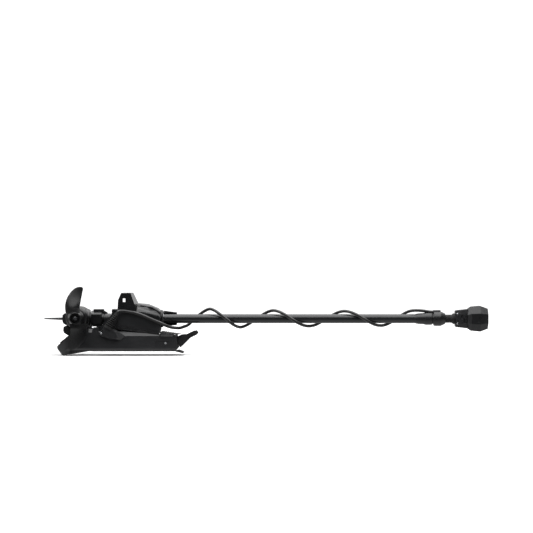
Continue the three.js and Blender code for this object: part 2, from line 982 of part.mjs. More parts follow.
// ---------------------------------------------------------------- collars and control head
const depthCollar = () =>
  turnedX(
    [
      [SHAFT_R + GAP, 1314],
      [22.5, 1314],
      [25, 1325],
      [26, 1350],
      [29, 1362],
      [29, 1388],
      [27, 1391],
      [SHAFT_R + GAP, 1391],
      [SHAFT_R + GAP, 1314],
    ],
    0,
    SHAFT_Z,
    24,
  ).subtract(box(1312, 1395, -11, 5, SHAFT_Z + 22.5, SHAFT_Z + 60));

// Cross section of the hood over the cable's end, on top of the cable collar.
const HOOD_SECTION = [
  [-14, SHAFT_Z + 24],
  [8, SHAFT_Z + 24],
  [8, SHAFT_Z + 37],
  [2, SHAFT_Z + 41],
  [-8, SHAFT_Z + 41],
  [-14, SHAFT_Z + 37],
];

const cableCollar = () => {
  const ring = turnedX(
    [
      [SHAFT_R + GAP, 1392],
      [25, 1392],
      [25, 1397],
      [33, 1398],
      [34, 1401],
      [34, 1432],
      [24, 1452],
      [SHAFT_R + GAP, 1452],
      [SHAFT_R + GAP, 1392],
    ],
    0,
    SHAFT_Z,
    16,
    Math.PI / 16,
  );
  const hood = alongX(HOOD_SECTION, 1396, 1430);
  const cableHole = turnedX(rodProfile(CABLE_R + 2 * GAP, 1380, 1414), -3, SHAFT_Z + 31.5, 12);
  const shaftRoom = turnedX(rodProfile(SHAFT_R + GAP, 1380, 1460));
  return ring.add(hood).subtract(shaftRoom).subtract(cableHole);
};

const headNeck = () =>
  turnedX(
    [
      [10, 1441],
      [19.7, 1441],
      [19.7, 1484],
      [25, 1486],
      [25, 1498],
      [10, 1498],
      [10, 1441],
    ],
    0,
    SHAFT_Z,
    20,
  );

const HEAD_BOLT = { x: 1506, rise: 22.5, y: -28 };

const BRACKET_OUTLINE = [
  [1498.3, 112],
  [1503, 110],
  [1552, 104.5],
  [1552, 193.5],
  [1503, 188],
  [1498.3, 186],
];
const BRACKET_SECTION = [
  [-34, 128],
  [-28, 104],
  [28, 104],
  [34, 128],
  [34, 170],
  [28, 194],
  [-28, 194],
  [-34, 170],
];

const headBracket = () => {
  let made = alongY(BRACKET_OUTLINE, -34, 34).intersect(alongX(BRACKET_SECTION, 1490, 1560));
  made = made.subtract(turnedX(rodProfile(10, 1490, 1560), 0, SHAFT_Z, 16));
  for (const side of [-1, 1]) {
    const z = SHAFT_Z + side * HEAD_BOLT.rise;
    made = made.subtract(turnedY(rodProfile(2.5 + GAP, -40, -10), HEAD_BOLT.x, z, 12));
    made = made.subtract(turnedY(rodProfile(6.5, -40, HEAD_BOLT.y), HEAD_BOLT.x, z, 12));
  }
  return made;
};

const headBolt = (side) =>
  turnedY(
    [
      [0, HEAD_BOLT.y - 3.5],
      [4.5, HEAD_BOLT.y - 3.5],
      [5, HEAD_BOLT.y - 2.5],
      [5, HEAD_BOLT.y - GAP],
      [2.5, HEAD_BOLT.y - GAP],
      [2.5, -11],
      [0, -11],
    ],
    HEAD_BOLT.x,
    SHAFT_Z + side * HEAD_BOLT.rise,
    12,
  );

const OCTAGON = 1 / Math.cos(Math.PI / 8); // corner radius over half the width across flats

const headShell = () => {
  const profile = (grow, x0, x1) =>
    [
      [0, x0],
      [44 + grow, x0],
      [56 + grow, 1570],
      [60 + grow, 1612],
      [47 + grow, x1],
      [0, x1],
    ].map(([r, x]) => [r * OCTAGON, x]);
  const outer = turnedX(profile(0, 1552.3, 1648), 0, SHAFT_Z, 8, Math.PI / 8);
  const hollow = turnedX(profile(-COVER_WALL, 1556, 1644), 0, SHAFT_Z, 8, Math.PI / 8);
  return outer.subtract(hollow).subtract(turnedX(rodProfile(10, 1540, 1560), 0, SHAFT_Z, 16));
};

const headBoard = () => box(1575, 1635, -34, -32, SHAFT_Z - 30, SHAFT_Z + 30);

// ---------------------------------------------------------------- power cable
const BOOT_FOOT = new THREE.Vector3(-115, -96, 104);
const BOOT_TOP = new THREE.Vector3(-66, -94, 175);
// The cable leaves its boot, runs along the housing and dips under the shaft.
const CABLE_FRONT_RUN = [
  [-65.6, -94, 175.6],
  [-61.5, -93.8, 181.4],
  [-54, -91.8, 186],
  [-43, -88.5, 187],
  [-24, -84.5, 185],
  [6, -83.2, 180],
  [25, -83, 175],
  [52, -83, 166],
  [84, -83, 152],
  [108, -83, 142],
  [131, -83.2, 132],
  [154, -73.5, 121],
  [176, -56, 112],
  [198, -38, 107.5],
  [220, -16, 106.5],
];
// Where the winding passes under, behind, over and in front of the shaft: [x, distance from its axis].
const WINDING = [
  [238, 37],
  [285, 34],
  [359, 45],
  [434, 36],
  [501, 39.5],
  [577, 32],
  [653, 38],
  [737, 36],
  [822, 34.5],
  [903, 32],
  [984, 35],
  [1074, 33],
  [1154, 32],
  [1228, 33],
  [1305, 38],
];
const CABLE_END_RUN = [
  [1345, -3, 186],
  [1366, -3, 183],
  [1386, -3, 180.7],
  [1406, -3, 180.5],
];
const POINTS_PER_QUARTER = 3;
// The cable is three nodes, cut at these distances from the boot.
const CABLE_CUTS = [160, 250];
const CABLE_NODES = [
  { name: "cable_side_run", steps: 10 },
  { name: "cable_exit_run", steps: 5 },
  { name: "cable_winding", steps: 64 },
];

// Points of the winding: a quarter turn per station, from below through behind to the top and the front.
function windingPoints() {
  const points = [];
  for (let i = 0; i < WINDING.length - 1; i++) {
    for (let j = 0; j < POINTS_PER_QUARTER; j++) {
      const t = j / POINTS_PER_QUARTER;
      const x = THREE.MathUtils.lerp(WINDING[i][0], WINDING[i + 1][0], t);
      const r = THREE.MathUtils.lerp(WINDING[i][1], WINDING[i + 1][1], t);
      const angle = ((i + t) * Math.PI) / 2;
      points.push([x, r * Math.sin(angle), SHAFT_Z - r * Math.cos(angle)]);
    }
  }
  const [x, r] = WINDING[WINDING.length - 1];
  points.push([x, -2, SHAFT_Z + r]);
  return points;
}

// A stretch of a longer curve, between two distances along it.
class Stretch extends THREE.Curve {
  constructor(whole, from, to) {
    super();
    this.whole = whole;
    this.from = from / whole.getLength();
    this.to = to / whole.getLength();
  }

  getPoint(t, target = new THREE.Vector3()) {
    return this.whole.getPointAt(THREE.MathUtils.lerp(this.from, this.to, t), target);
  }
}

// A round cable along a curve, with both ends cut square.
function cable(curve, steps) {
  const section = Array.from({ length: CABLE_SIDES }, (_, i) => {
    const angle = (2 * Math.PI * i) / CABLE_SIDES;
    return [CABLE_R * Math.cos(angle), CABLE_R * Math.sin(angle)];
  });
  const settings = { steps, bevelEnabled: false, extrudePath: curve };
  return solid(new THREE.ExtrudeGeometry(shapeOf(section), settings));
}

// Tapered strain relief between the side cover and the cable.
function cableBoot(cover) {
  const axis = BOOT_TOP.clone().sub(BOOT_FOOT);
  const geometry = new THREE.LatheGeometry(
    [
      [0, 0],
      [17, 0],
      [15, axis.length() * 0.5],
      [9, axis.length()],
      [0, axis.length()],
    ].map(([r, h]) => new THREE.Vector2(r, h)),
    16,
  );
  const turn = new THREE.Quaternion();
  turn.setFromUnitVectors(new THREE.Vector3(0, 1, 0), axis.clone().normalize());
  geometry.applyQuaternion(turn);
  geometry.translate(BOOT_FOOT.x, BOOT_FOOT.y, BOOT_FOOT.z);
  const step = axis.setLength(2 * GAP).toArray();
  const parts = solid(geometry).subtract(cover).subtract(cover.translate(step)).decompose();
  return parts.sort((a, b) => b.volume() - a.volume())[0];
}

// ---------------------------------------------------------------- assembly
function buildMount() {
  add("base_frame", baseFrame().subtract(pedalNotch()), COLORS.casting, SATIN);
  add("ramp_pad_near", rampPad(-1), COLORS.rubber, SOFT);
  add("ramp_pad_far", rampPad(1), COLORS.rubber, SOFT);
  const cover = add("near_side_cover", sideCover(-1), COLORS.cover, SATIN);
  add("far_side_cover", sideCover(1), COLORS.cover, SATIN);
  add("base_top_cover", baseTopCover(), COLORS.cover, SATIN);
  add("rear_step_pad", rearStepPad(), COLORS.rubber, SOFT);
  add("rear_foot", rearFoot(), COLORS.rubber, SOFT);
  add("motor_controller", box(-60, 84, -55, 55, 7, 40), COLORS.steel, METAL);
  add("pivot_axle", pivotAxle(), COLORS.steel, METAL);
  add("pivot_screw", pivotScrew(), COLORS.steel, METAL);
  add("pedal_pin", turnedY(rodProfile(4, -74, 74), PEDAL_X, PEDAL_Z, 12), COLORS.steel, METAL);
  add("latch_spring", latchSpring(), COLORS.steel, METAL);
  add("cable_boot", cableBoot(cover), COLORS.rubber, SOFT);
}

function buildControls() {
  add("release_pedal", pedal(), COLORS.cover, SATIN);
  add("pedal_pad", pedalPad(), COLORS.rubber, SOFT);
  add("latch_bolt", latchBolt(), COLORS.steel, METAL);
  add("power_button", powerButton(), COLORS.steel, METAL);
}

function buildHousing() {
  add("steering_housing", steeringHousing(), COLORS.cover, SATIN);
  add("tower_cover", towerCover(), COLORS.cover, SATIN);
  add("barrel_cover", barrelCover(), COLORS.cover, SATIN);
  add("rear_end_ring", rearEndRing(), COLORS.cover, SATIN);
  add("front_bush", bush(HOUSING_FRONT - 2, -76), COLORS.bronze, METAL);
  add("rear_bush", bush(112, HOUSING_REAR), COLORS.bronze, METAL);
  add("servo_motor", servoMotor(), COLORS.steel, METAL);
  add("exit_guide", exitGuide(), COLORS.cover, SATIN);
  add("striker_plate", strikerPlate(), COLORS.steel, METAL);
  add("pinion_gear", pinionGear(), COLORS.steel, METAL);
}

function buildShaft() {
  add("steering_sleeve", steeringSleeve(), COLORS.steel, METAL);
  add("steering_gear", steeringGear(), COLORS.bronze, METAL);
  add("main_shaft", mainShaft(), COLORS.shaft, METAL);
  add("motor_neck", motorNeck(), COLORS.casting, SATIN);
  add("neck_clamp", neckClamp(), COLORS.cover, SATIN);
  add("neck_collar", neckCollar(), COLORS.cover, SATIN);
}

function buildMotor() {
  add("motor_housing", motorHousing(), COLORS.casting, SATIN);
  add("motor_end_bell", endBell(), COLORS.casting, SATIN);
  add("nose_cone", noseCone(), COLORS.casting, SATIN);
  add("skeg", skeg(), COLORS.prop, SATIN);
  add("skeg_fairing", skegFairing(), COLORS.cover, SATIN);
  add("sonar_pod", sonarPod(), COLORS.cover, SATIN);
  add("stator", stator(), COLORS.copper, METAL);
  add("prop_side_bearing", bearing(-86, -75, 17.9), COLORS.steel, METAL);
  add("nose_side_bearing", bearing(68.5, 77.5, 17.4), COLORS.steel, METAL);
  add("shaft_seal", shaftSeal(), COLORS.rubber, SOFT);
  add("propeller", propeller(), COLORS.prop, SATIN);
  add("prop_shaft", propShaft(), COLORS.steel, METAL);
  add("rotor", rotor(), COLORS.steel, METAL);
  add("drive_pin", drivePin(), COLORS.steel, METAL);
  add("prop_nut", propNut(), COLORS.steel, METAL);
}

function buildHead() {
  add("depth_collar", depthCollar(), COLORS.cover, SATIN);
  add("cable_collar", cableCollar(), COLORS.cover, SATIN);
  add("head_neck", headNeck(), COLORS.rubber, SOFT);
  add("head_bracket", headBracket(), COLORS.casting, SATIN);
  add("head_bolt_upper", headBolt(1), COLORS.steel, METAL);
  add("head_bolt_lower", headBolt(-1), COLORS.steel, METAL);
  add("head_shell", headShell(), COLORS.cover, SATIN);
  add("head_board", headBoard(), COLORS.board, SATIN);
}

function buildCable() {
  const points = [...CABLE_FRONT_RUN, ...windingPoints(), ...CABLE_END_RUN];
  const stations = points.map((p) => new THREE.Vector3(...p));
  const route = new THREE.CatmullRomCurve3(stations, false, "centripetal");
  route.arcLengthDivisions = 1000;
  const ends = [0, ...CABLE_CUTS, route.getLength()];
  CABLE_NODES.forEach(({ name, steps }, i) => {
    const stretch = new Stretch(route, ends[i] + GAP / 2, ends[i + 1] - GAP / 2);
    add(name, cable(stretch, steps), COLORS.cable, SOFT);
  });
}

buildMount();
buildControls();
buildHousing();
buildShaft();
buildMotor();
buildHead();
buildCable();

export default root;
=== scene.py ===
"""Looks of an electric trolling motor in its stowed pose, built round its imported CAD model.

Every length in the helpers below is in millimetres, in the CAD's own frame, and becomes metres as a mesh
is made. Camera, lights and floor are in metres.
"""

import json
import math

import bmesh
import bpy
import numpy as np
from mathutils import Matrix, Vector


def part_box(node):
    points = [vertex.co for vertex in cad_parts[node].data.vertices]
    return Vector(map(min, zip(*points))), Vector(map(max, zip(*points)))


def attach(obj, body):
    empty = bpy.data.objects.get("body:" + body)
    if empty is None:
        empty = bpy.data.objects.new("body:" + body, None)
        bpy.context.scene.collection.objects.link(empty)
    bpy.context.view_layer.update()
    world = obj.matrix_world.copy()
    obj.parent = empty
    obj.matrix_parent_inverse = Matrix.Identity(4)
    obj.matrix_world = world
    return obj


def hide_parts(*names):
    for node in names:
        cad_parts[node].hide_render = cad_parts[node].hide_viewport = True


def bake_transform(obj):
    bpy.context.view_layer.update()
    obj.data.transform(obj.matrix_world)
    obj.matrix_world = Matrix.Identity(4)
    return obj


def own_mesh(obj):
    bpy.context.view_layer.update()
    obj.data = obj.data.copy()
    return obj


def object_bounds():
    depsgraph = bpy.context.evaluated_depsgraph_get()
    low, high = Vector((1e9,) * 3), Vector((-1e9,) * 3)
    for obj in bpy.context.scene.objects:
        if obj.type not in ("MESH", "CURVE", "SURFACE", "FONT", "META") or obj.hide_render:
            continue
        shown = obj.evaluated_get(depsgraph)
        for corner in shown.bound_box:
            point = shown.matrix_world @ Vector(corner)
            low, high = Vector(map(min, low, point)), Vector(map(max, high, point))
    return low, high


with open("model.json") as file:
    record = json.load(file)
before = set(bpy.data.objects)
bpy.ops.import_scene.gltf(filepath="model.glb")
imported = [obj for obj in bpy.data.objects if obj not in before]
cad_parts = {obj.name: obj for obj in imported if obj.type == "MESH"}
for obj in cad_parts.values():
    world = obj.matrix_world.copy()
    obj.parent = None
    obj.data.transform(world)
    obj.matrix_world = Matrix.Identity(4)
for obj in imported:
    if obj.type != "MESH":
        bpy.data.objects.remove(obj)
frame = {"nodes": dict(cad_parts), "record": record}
CAD_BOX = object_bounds()

MM = 0.001


# ---------------------------------------------------------------- camera, light and floor
CAMERA_PLACE = (0.6214, -8.5, 0.3914)
CAMERA_LENS = 123.5
CAMERA_SENSOR = 36.0


def make_camera():
    """A level long-lens camera at the side of the boat, square to the shaft."""
    data = bpy.data.cameras.new("camera")
    data.lens = CAMERA_LENS
    data.sensor_width = CAMERA_SENSOR
    data.clip_end = 100.0
    camera = bpy.data.objects.new("camera", data)
    camera.location = CAMERA_PLACE
    camera.rotation_euler = (math.pi / 2, 0.0, 0.0)
    bpy.context.scene.collection.objects.link(camera)
    bpy.context.scene.camera = camera


def make_light(name, place, target, size, radiance):
    """A soft rectangular light that points at a target, with the brightness of its face."""
    data = bpy.data.lights.new(name, "AREA")
    data.shape = "RECTANGLE"
    data.size, data.size_y = size
    data.energy = math.pi * size[0] * size[1] * radiance
    light = bpy.data.objects.new(name, data)
    light.location = place
    aim = Vector(target) - Vector(place)
    light.rotation_euler = aim.to_track_quat("-Z", "Y").to_euler()
    bpy.context.scene.collection.objects.link(light)


def ramp_node(nodes, links, value, start, end, low, high):
    """Maps a value from one range to another, smoothly and without passing the ends."""
    ramp = nodes.new("ShaderNodeMapRange")
    ramp.interpolation_type = "SMOOTHSTEP"
    ramp.inputs["From Min"].default_value = start
    ramp.inputs["From Max"].default_value = end
    ramp.inputs["To Min"].default_value = low
    ramp.inputs["To Max"].default_value = high
    links.new(value, ramp.inputs["Value"])
    return ramp.outputs["Result"]


def camera_mix(nodes, links, others, seen, out):
    """Shows one shader to the camera and lights the object with another."""
    path = nodes.new("ShaderNodeLightPath")
    mix = nodes.new("ShaderNodeMixShader")
    links.new(path.outputs["Is Camera Ray"], mix.inputs["Fac"])
    links.new(others, mix.inputs[1])
    links.new(seen, mix.inputs[2])
    links.new(mix.outputs["Shader"], out.inputs["Surface"])


BACK_GLOW = 0.9
FRONT_GLOW = 0.03


def make_world():
    """A white surround for the camera, which lights the object from behind and hardly from the front."""
    world = bpy.data.worlds.new("studio")
    world.use_nodes = True
    bpy.context.scene.world = world
    nodes, links = world.node_tree.nodes, world.node_tree.links
    nodes.clear()
    seen = nodes.new("ShaderNodeBackground")
    seen.inputs["Color"].default_value = (1, 1, 1, 1)
    seen.inputs["Strength"].default_value = 1.05
    glow = nodes.new("ShaderNodeBackground")
    place = nodes.new("ShaderNodeTexCoord")
    split = nodes.new("ShaderNodeSeparateXYZ")
    links.new(place.outputs["Generated"], split.inputs["Vector"])
    strength = ramp_node(nodes, links, split.outputs["Y"], -0.25, 0.6, FRONT_GLOW, BACK_GLOW)
    links.new(strength, glow.inputs["Strength"])
    out = nodes.new("ShaderNodeOutputWorld")
    camera_mix(nodes, links, glow.outputs["Background"], seen.outputs["Background"], out)


FLOOR_SIZE = 60.0
FLOOR_GLOW = 0.75  # what the object sees of the floor below it
FLOOR_GLOW_AROUND = 0.12  # and of the floor farther away


def make_floor():
    """A pale floor at the lowest point of the object, which is the mount's toe."""
    bpy.ops.mesh.primitive_plane_add(size=FLOOR_SIZE, location=(0.6, 0.0, CAD_BOX[0].z - 0.0002))
    floor = bpy.context.active_object
    floor.name = "floor"
    material = bpy.data.materials.new("floor")
    material.use_nodes = True
    nodes, links = material.node_tree.nodes, material.node_tree.links
    nodes.clear()
    place = nodes.new("ShaderNodeTexCoord")
    split = nodes.new("ShaderNodeSeparateXYZ")
    links.new(place.outputs["Object"], split.inputs["Vector"])
    bounce = nodes.new("ShaderNodeEmission")
    aside = nodes.new("ShaderNodeMath")
    aside.operation = "ABSOLUTE"
    links.new(split.outputs["Y"], aside.inputs[0])
    near = ramp_node(nodes, links, aside.outputs["Value"], 0.1, 0.5, FLOOR_GLOW, FLOOR_GLOW_AROUND)
    links.new(near, bounce.inputs["Strength"])
    paper = nodes.new("ShaderNodeBsdfDiffuse")
    paper.inputs["Color"].default_value = (0.8, 0.8, 0.8, 1)
    distance = nodes.new("ShaderNodeVectorMath")
    distance.operation = "LENGTH"
    links.new(place.outputs["Object"], distance.inputs[0])
    lift = nodes.new("ShaderNodeEmission")
    far = ramp_node(nodes, links, distance.outputs["Value"], 1.2, 3.0, 0.0, 1.0)
    links.new(far, lift.inputs["Strength"])
    sheet = nodes.new("ShaderNodeAddShader")
    links.new(paper.outputs["BSDF"], sheet.inputs[0])
    links.new(lift.outputs["Emission"], sheet.inputs[1])
    out = nodes.new("ShaderNodeOutputMaterial")
    camera_mix(nodes, links, bounce.outputs["Emission"], sheet.outputs["Shader"], out)
    floor.data.materials.append(material)


def make_studio():
    """Camera, surround, floor and three soft lights: one above and one off each end of the boat."""
    bpy.context.scene.view_settings.view_transform = "Standard"
    make_camera()
    make_world()
    make_floor()
    make_light("overhead", (0.6, -0.5, 2.6), (0.6, -0.5, 0.0), (5.0, 5.2), 3.4)
    make_light("bow_side", (-2.8, -2.0, 0.9), (-0.25, 0, 0.15), (1.6, 1.4), 2.4)
    make_light("stern_side", (3.6, -0.1, 0.6), (1.2, 0, 0.15), (0.9, 0.9), 3.0)


# ---------------------------------------------------------------- mesh helpers
def linked(mesh, name):
    """A new object with the mesh, in the scene."""
    obj = bpy.data.objects.new(name, mesh)
    bpy.context.scene.collection.objects.link(obj)
    return obj


def from_lists(name, points, faces):
    """An object from points in millimetres and faces of any size, with its normals turned out."""
    bm = bmesh.new()
    verts = [bm.verts.new(Vector(p) * MM) for p in points]
    for face in faces:
        bm.faces.new([verts[i] for i in face])
    bmesh.ops.recalc_face_normals(bm, faces=bm.faces)
    mesh = bpy.data.meshes.new(name)
    bm.to_mesh(mesh)
    bm.free()
    return linked(mesh, name)


def applied(obj):
    """Bakes an object's modifiers into its mesh."""
    graph = bpy.context.evaluated_depsgraph_get()
    mesh = bpy.data.meshes.new_from_object(obj.evaluated_get(graph), depsgraph=graph)
    obj.modifiers.clear()
    obj.data = mesh
    return obj


def shaded(obj, angle=35):
    """Smooth shading that breaks at edges sharper than the angle."""
    obj.data.shade_smooth()
    obj.data.set_sharp_from_angle(angle=math.radians(angle))
    return obj


def softened(obj, width, segments=3, angle=28, sharp=60):
    """Rounds every edge sharper than the angle, and keeps the flat faces flat in shading."""
    bevel = obj.modifiers.new("round", "BEVEL")
    bevel.width = width * MM
    bevel.segments = segments
    bevel.limit_method = "ANGLE"
    bevel.angle_limit = math.radians(angle)
    bevel.use_clamp_overlap = True
    bevel.miter_outer = "MITER_ARC"
    applied(obj)
    shaded(obj, sharp)
    obj.modifiers.new("weights", "WEIGHTED_NORMAL").keep_sharp = True
    return applied(obj)


def rounded(obj, width, segments=4, angle=12):
    """Rounds the edges of a moulding and shades its faces as one curved skin."""
    bevel = obj.modifiers.new("round", "BEVEL")
    bevel.width = width * MM
    bevel.segments = segments
    bevel.limit_method = "ANGLE"
    bevel.angle_limit = math.radians(angle)
    bevel.use_clamp_overlap = True
    applied(obj)
    return shaded(obj, 50)


def carved(obj, *cutters):
    """Cuts the cutters' shapes out of an object, and removes them."""
    for cutter in cutters:
        cut = obj.modifiers.new("cut", "BOOLEAN")
        cut.operation = "DIFFERENCE"
        cut.solver = "EXACT"
        cut.object = cutter
        applied(obj)
        bpy.data.objects.remove(cutter)
    return obj


def joined(obj, *parts):
    """Adds the parts' solids to an object, and removes them."""
    for part in parts:
        join = obj.modifiers.new("join", "BOOLEAN")
        join.operation = "UNION"
        join.solver = "EXACT"
        join.object = part
        applied(obj)
        bpy.data.objects.remove(part)
    return obj


def merged(name, objects):
    """One object that holds the meshes of all the objects, as separate shells."""
    bm = bmesh.new()
    for obj in objects:
        bm.from_mesh(obj.data)
    mesh = bpy.data.meshes.new(name)
    bm.to_mesh(mesh)
    bm.free()
    for obj in objects:
        bpy.data.objects.remove(obj)
    made = linked(mesh, name)
    return made


def cad_copy(node, name):
    """A copy of a CAD node's mesh with its triangles merged back into flat faces."""
    mesh = frame["nodes"][node].data.copy()
    mesh.materials.clear()
    bm = bmesh.new()
    bm.from_mesh(mesh)
    bmesh.ops.remove_doubles(bm, verts=bm.verts, dist=0.02 * MM)
    bmesh.ops.dissolve_degenerate(bm, edges=bm.edges, dist=0.02 * MM)
    bmesh.ops.dissolve_limit(bm, angle_limit=math.radians(0.7), verts=bm.verts, edges=bm.edges)
    for layer in list(bm.loops.layers.uv.values()):
        bm.loops.layers.uv.remove(layer)
    bm.to_mesh(mesh)
    bm.free()
    return linked(mesh, name)


def lathe(name, profile, axis, centre, steps=96):
    """Turns a profile of (radius, distance) about the X or Y line through a centre.

    The centre is (x, z) or (x, y, z).
    """
    closed = profile[0] == profile[-1]
    rows = profile[:-1] if closed else profile
    points, rings = [], []
    cx, cy, cz = centre if len(centre) == 3 else (centre[0], 0, centre[1])
    for radius, along in rows:
        count = 1 if radius == 0 else steps
        rings.append(range(len(points), len(points) + count))
        for i in range(count):
            a = 2 * math.pi * i / steps
            across = (radius * math.cos(a), radius * math.sin(a))
            if axis == "X":
                points.append((along, cy + across[0], cz + across[1]))
            else:
                points.append((cx + across[0], along, cz + across[1]))
    pairs = list(zip(rings, rings[1:]))
    if closed:
        pairs.append((rings[-1], rings[0]))
    faces = []
    for a, b in pairs:
        for i in range(steps):
            j = (i + 1) % steps
            quad = [a[i % len(a)], a[j % len(a)], b[j % len(b)], b[i % len(b)]]
            corners = list(dict.fromkeys(quad))
            if len(corners) > 2:
                faces.append(corners)
    return from_lists(name, points, faces)


def prism(name, outline, axis, low, high):
    """Draws an outline out along an axis: (x, z) along Y, (y, z) along X or (x, y) along Z."""
    place = {
        "X": lambda a, b, h: (h, a, b),
        "Y": lambda a, b, h: (a, h, b),
        "Z": lambda a, b, h: (a, b, h),
    }[axis]
    count = len(outline)
    points = [place(a, b, low) for a, b in outline] + [place(a, b, high) for a, b in outline]
    sides = [[i, (i + 1) % count, count + (i + 1) % count, count + i] for i in range(count)]
    return from_lists(name, points, [list(range(count)), list(range(count, 2 * count)), *sides])


def block(name, x, y, z):
    """A box between pairs of limits."""
    return prism(name, [(x[0], z[0]), (x[1], z[0]), (x[1], z[1]), (x[0], z[1])], "Y", *y)


def arc(centre, radius, start, end, steps):
    """Points round part of a circle, from one angle to another in degrees."""
    angles = np.radians(np.linspace(start, end, steps + 1))
    return [(centre[0] + radius * math.cos(a), centre[1] + radius * math.sin(a)) for a in angles]


def rounded_profile(profile, radius, steps=4):
    """A lathe profile whose corners are replaced by short arcs."""
    closed = profile[0] == profile[-1]
    rows = profile[:-1] if closed else profile
    out = []
    for i, corner in enumerate(rows):
        if not closed and i in (0, len(rows) - 1):
            out.append(corner)
            continue
        here = Vector(corner)
        before = Vector(rows[i - 1]) - here
        after = Vector(rows[(i + 1) % len(rows)]) - here
        reach = min(radius, before.length * 0.45, after.length * 0.45)
        a, b = here + before.normalized() * reach, here + after.normalized() * reach
        for k in range(steps + 1):
            t = k / steps
            p = a.lerp(here, t).lerp(here.lerp(b, t), t)
            out.append((max(p.x, 0.0), p.y))
    return [*out, out[0]] if closed else out


def lathed(name, profile, axis, centre, steps=96, radius=1.0):
    """A smooth turned piece with rounded corners."""
    return shaded(lathe(name, rounded_profile(profile, radius), axis, centre, steps), 50)


def smooth_path(points, spacing):
    """Evenly spaced points along a centripetal Catmull-Rom curve through the given points."""
    p = [Vector(q) for q in points]
    p = [p[0] * 2 - p[1], *p, p[-1] * 2 - p[-2]]
    dense = []
    for a, b, c, d in zip(p, p[1:], p[2:], p[3:]):
        t1 = math.sqrt((b - a).length)
        t2 = t1 + math.sqrt((c - b).length)
        t3 = t2 + math.sqrt((d - c).length)
        steps = max(4, int((c - b).length))
        for k in range(steps):
            t = t1 + (t2 - t1) * k / steps
            ab = a.lerp(b, t / t1)
            bc = b.lerp(c, (t - t1) / (t2 - t1))
            cd = c.lerp(d, (t - t2) / (t3 - t2))
            abc = ab.lerp(bc, t / t2)
            bcd = bc.lerp(cd, (t - t1) / (t3 - t1))
            dense.append(abc.lerp(bcd, (t - t1) / (t2 - t1)))
    dense.append(p[-2])
    places = np.array(dense)
    travel = np.concatenate([[0], np.cumsum(np.linalg.norm(np.diff(places, axis=0), axis=1))])
    count = int(round(travel[-1] / spacing)) + 1
    wanted = np.linspace(0, travel[-1], count)
    return np.stack([np.interp(wanted, travel, places[:, k]) for k in range(3)], axis=1)


def swept(name, path, radius_at, sides=20):
    """A round solid along a path, whose radius follows the distance along it."""
    path = [Vector(p) for p in path]
    travel = np.concatenate([[0], np.cumsum([(b - a).length for a, b in zip(path, path[1:])])])
    normal = None
    points = []
    for i, p in enumerate(path):
        tangent = (path[min(i + 1, len(path) - 1)] - path[max(i - 1, 0)]).normalized()
        if normal is None:
            normal = tangent.orthogonal().normalized()
        normal = (normal - tangent * normal.dot(tangent)).normalized()
        side = tangent.cross(normal)
        r = radius_at(travel[i])
        for k in range(sides):
            a = 2 * math.pi * k / sides
            points.append(p + normal * (r * math.cos(a)) + side * (r * math.sin(a)))
    faces = []
    for i in range(len(path) - 1):
        for k in range(sides):
            j = (k + 1) % sides
            faces.append([i * sides + k, i * sides + j, (i + 1) * sides + j, (i + 1) * sides + k])
    faces.append(list(range(sides)))
    faces.append(list(range((len(path) - 1) * sides, len(path) * sides)))
    return shaded(from_lists(name, points, faces), 50)


def box_of(node):
    """A CAD node's lowest and highest corners in millimetres."""
    low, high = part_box(node)
    return low / MM, high / MM


# ---------------------------------------------------------------- materials
def material_tree(name):
    """A new node material with its tree and its main shader."""
    material = bpy.data.materials.new(name)
    material.use_nodes = True
    tree = material.node_tree
    return material, tree, tree.nodes["Principled BSDF"]


def noise(tree, scale, detail=3.0, stretch=None):
    """Noise in the frame's own coordinates, with an optional stretch along the axes."""
    place = tree.nodes.new("ShaderNodeTexCoord")
    field = tree.nodes.new("ShaderNodeTexNoise")
    field.inputs["Scale"].default_value = scale
    field.inputs["Detail"].default_value = detail
    vector = place.outputs["Object"]
    if stretch:
        mapping = tree.nodes.new("ShaderNodeMapping")
        mapping.inputs["Scale"].default_value = stretch
        tree.links.new(vector, mapping.inputs["Vector"])
        vector = mapping.outputs["Vector"]
    tree.links.new(vector, field.inputs["Vector"])
    return field.outputs["Fac"]


def spread(tree, value, low, high, start=0.3, end=0.7):
    """Maps a noise value to a range."""
    node = tree.nodes.new("ShaderNodeMapRange")
    node.inputs["From Min"].default_value = start
    node.inputs["From Max"].default_value = end
    node.inputs["To Min"].default_value = low
    node.inputs["To Max"].default_value = high
    tree.links.new(value, node.inputs["Value"])
    return node.outputs["Result"]


def tint(tree, value, dark, light):
    """Mixes two colours by a value."""
    node = tree.nodes.new("ShaderNodeMix")
    node.data_type = "RGBA"
    node.inputs["A"].default_value = (*dark, 1)
    node.inputs["B"].default_value = (*light, 1)
    tree.links.new(value, node.inputs["Factor"])
    return node.outputs["Result"]


def bump(tree, value, strength, distance):
    """Lifts the surface by a value."""
    node = tree.nodes.new("ShaderNodeBump")
    node.inputs["Strength"].default_value = strength
    node.inputs["Distance"].default_value = distance
    tree.links.new(value, node.inputs["Height"])
    return node.outputs["Normal"]


def make_material(
    name, dark, light, rough, metallic=0.0, grain=(900, 0.25, 0.00012), patch=14, stretch=None
):
    """A surface with slow patches of colour and gloss, and a fine grain that lifts it."""
    material, tree, shader = material_tree(name)
    patches = noise(tree, patch, 4.0, stretch)
    fine = noise(tree, grain[0], 2.0, stretch)
    tree.links.new(tint(tree, spread(tree, patches, 0, 1), dark, light), shader.inputs["Base Color"])
    tree.links.new(spread(tree, patches, *rough), shader.inputs["Roughness"])
    tree.links.new(bump(tree, fine, grain[1], grain[2]), shader.inputs["Normal"])
    shader.inputs["Metallic"].default_value = metallic
    return material, shader


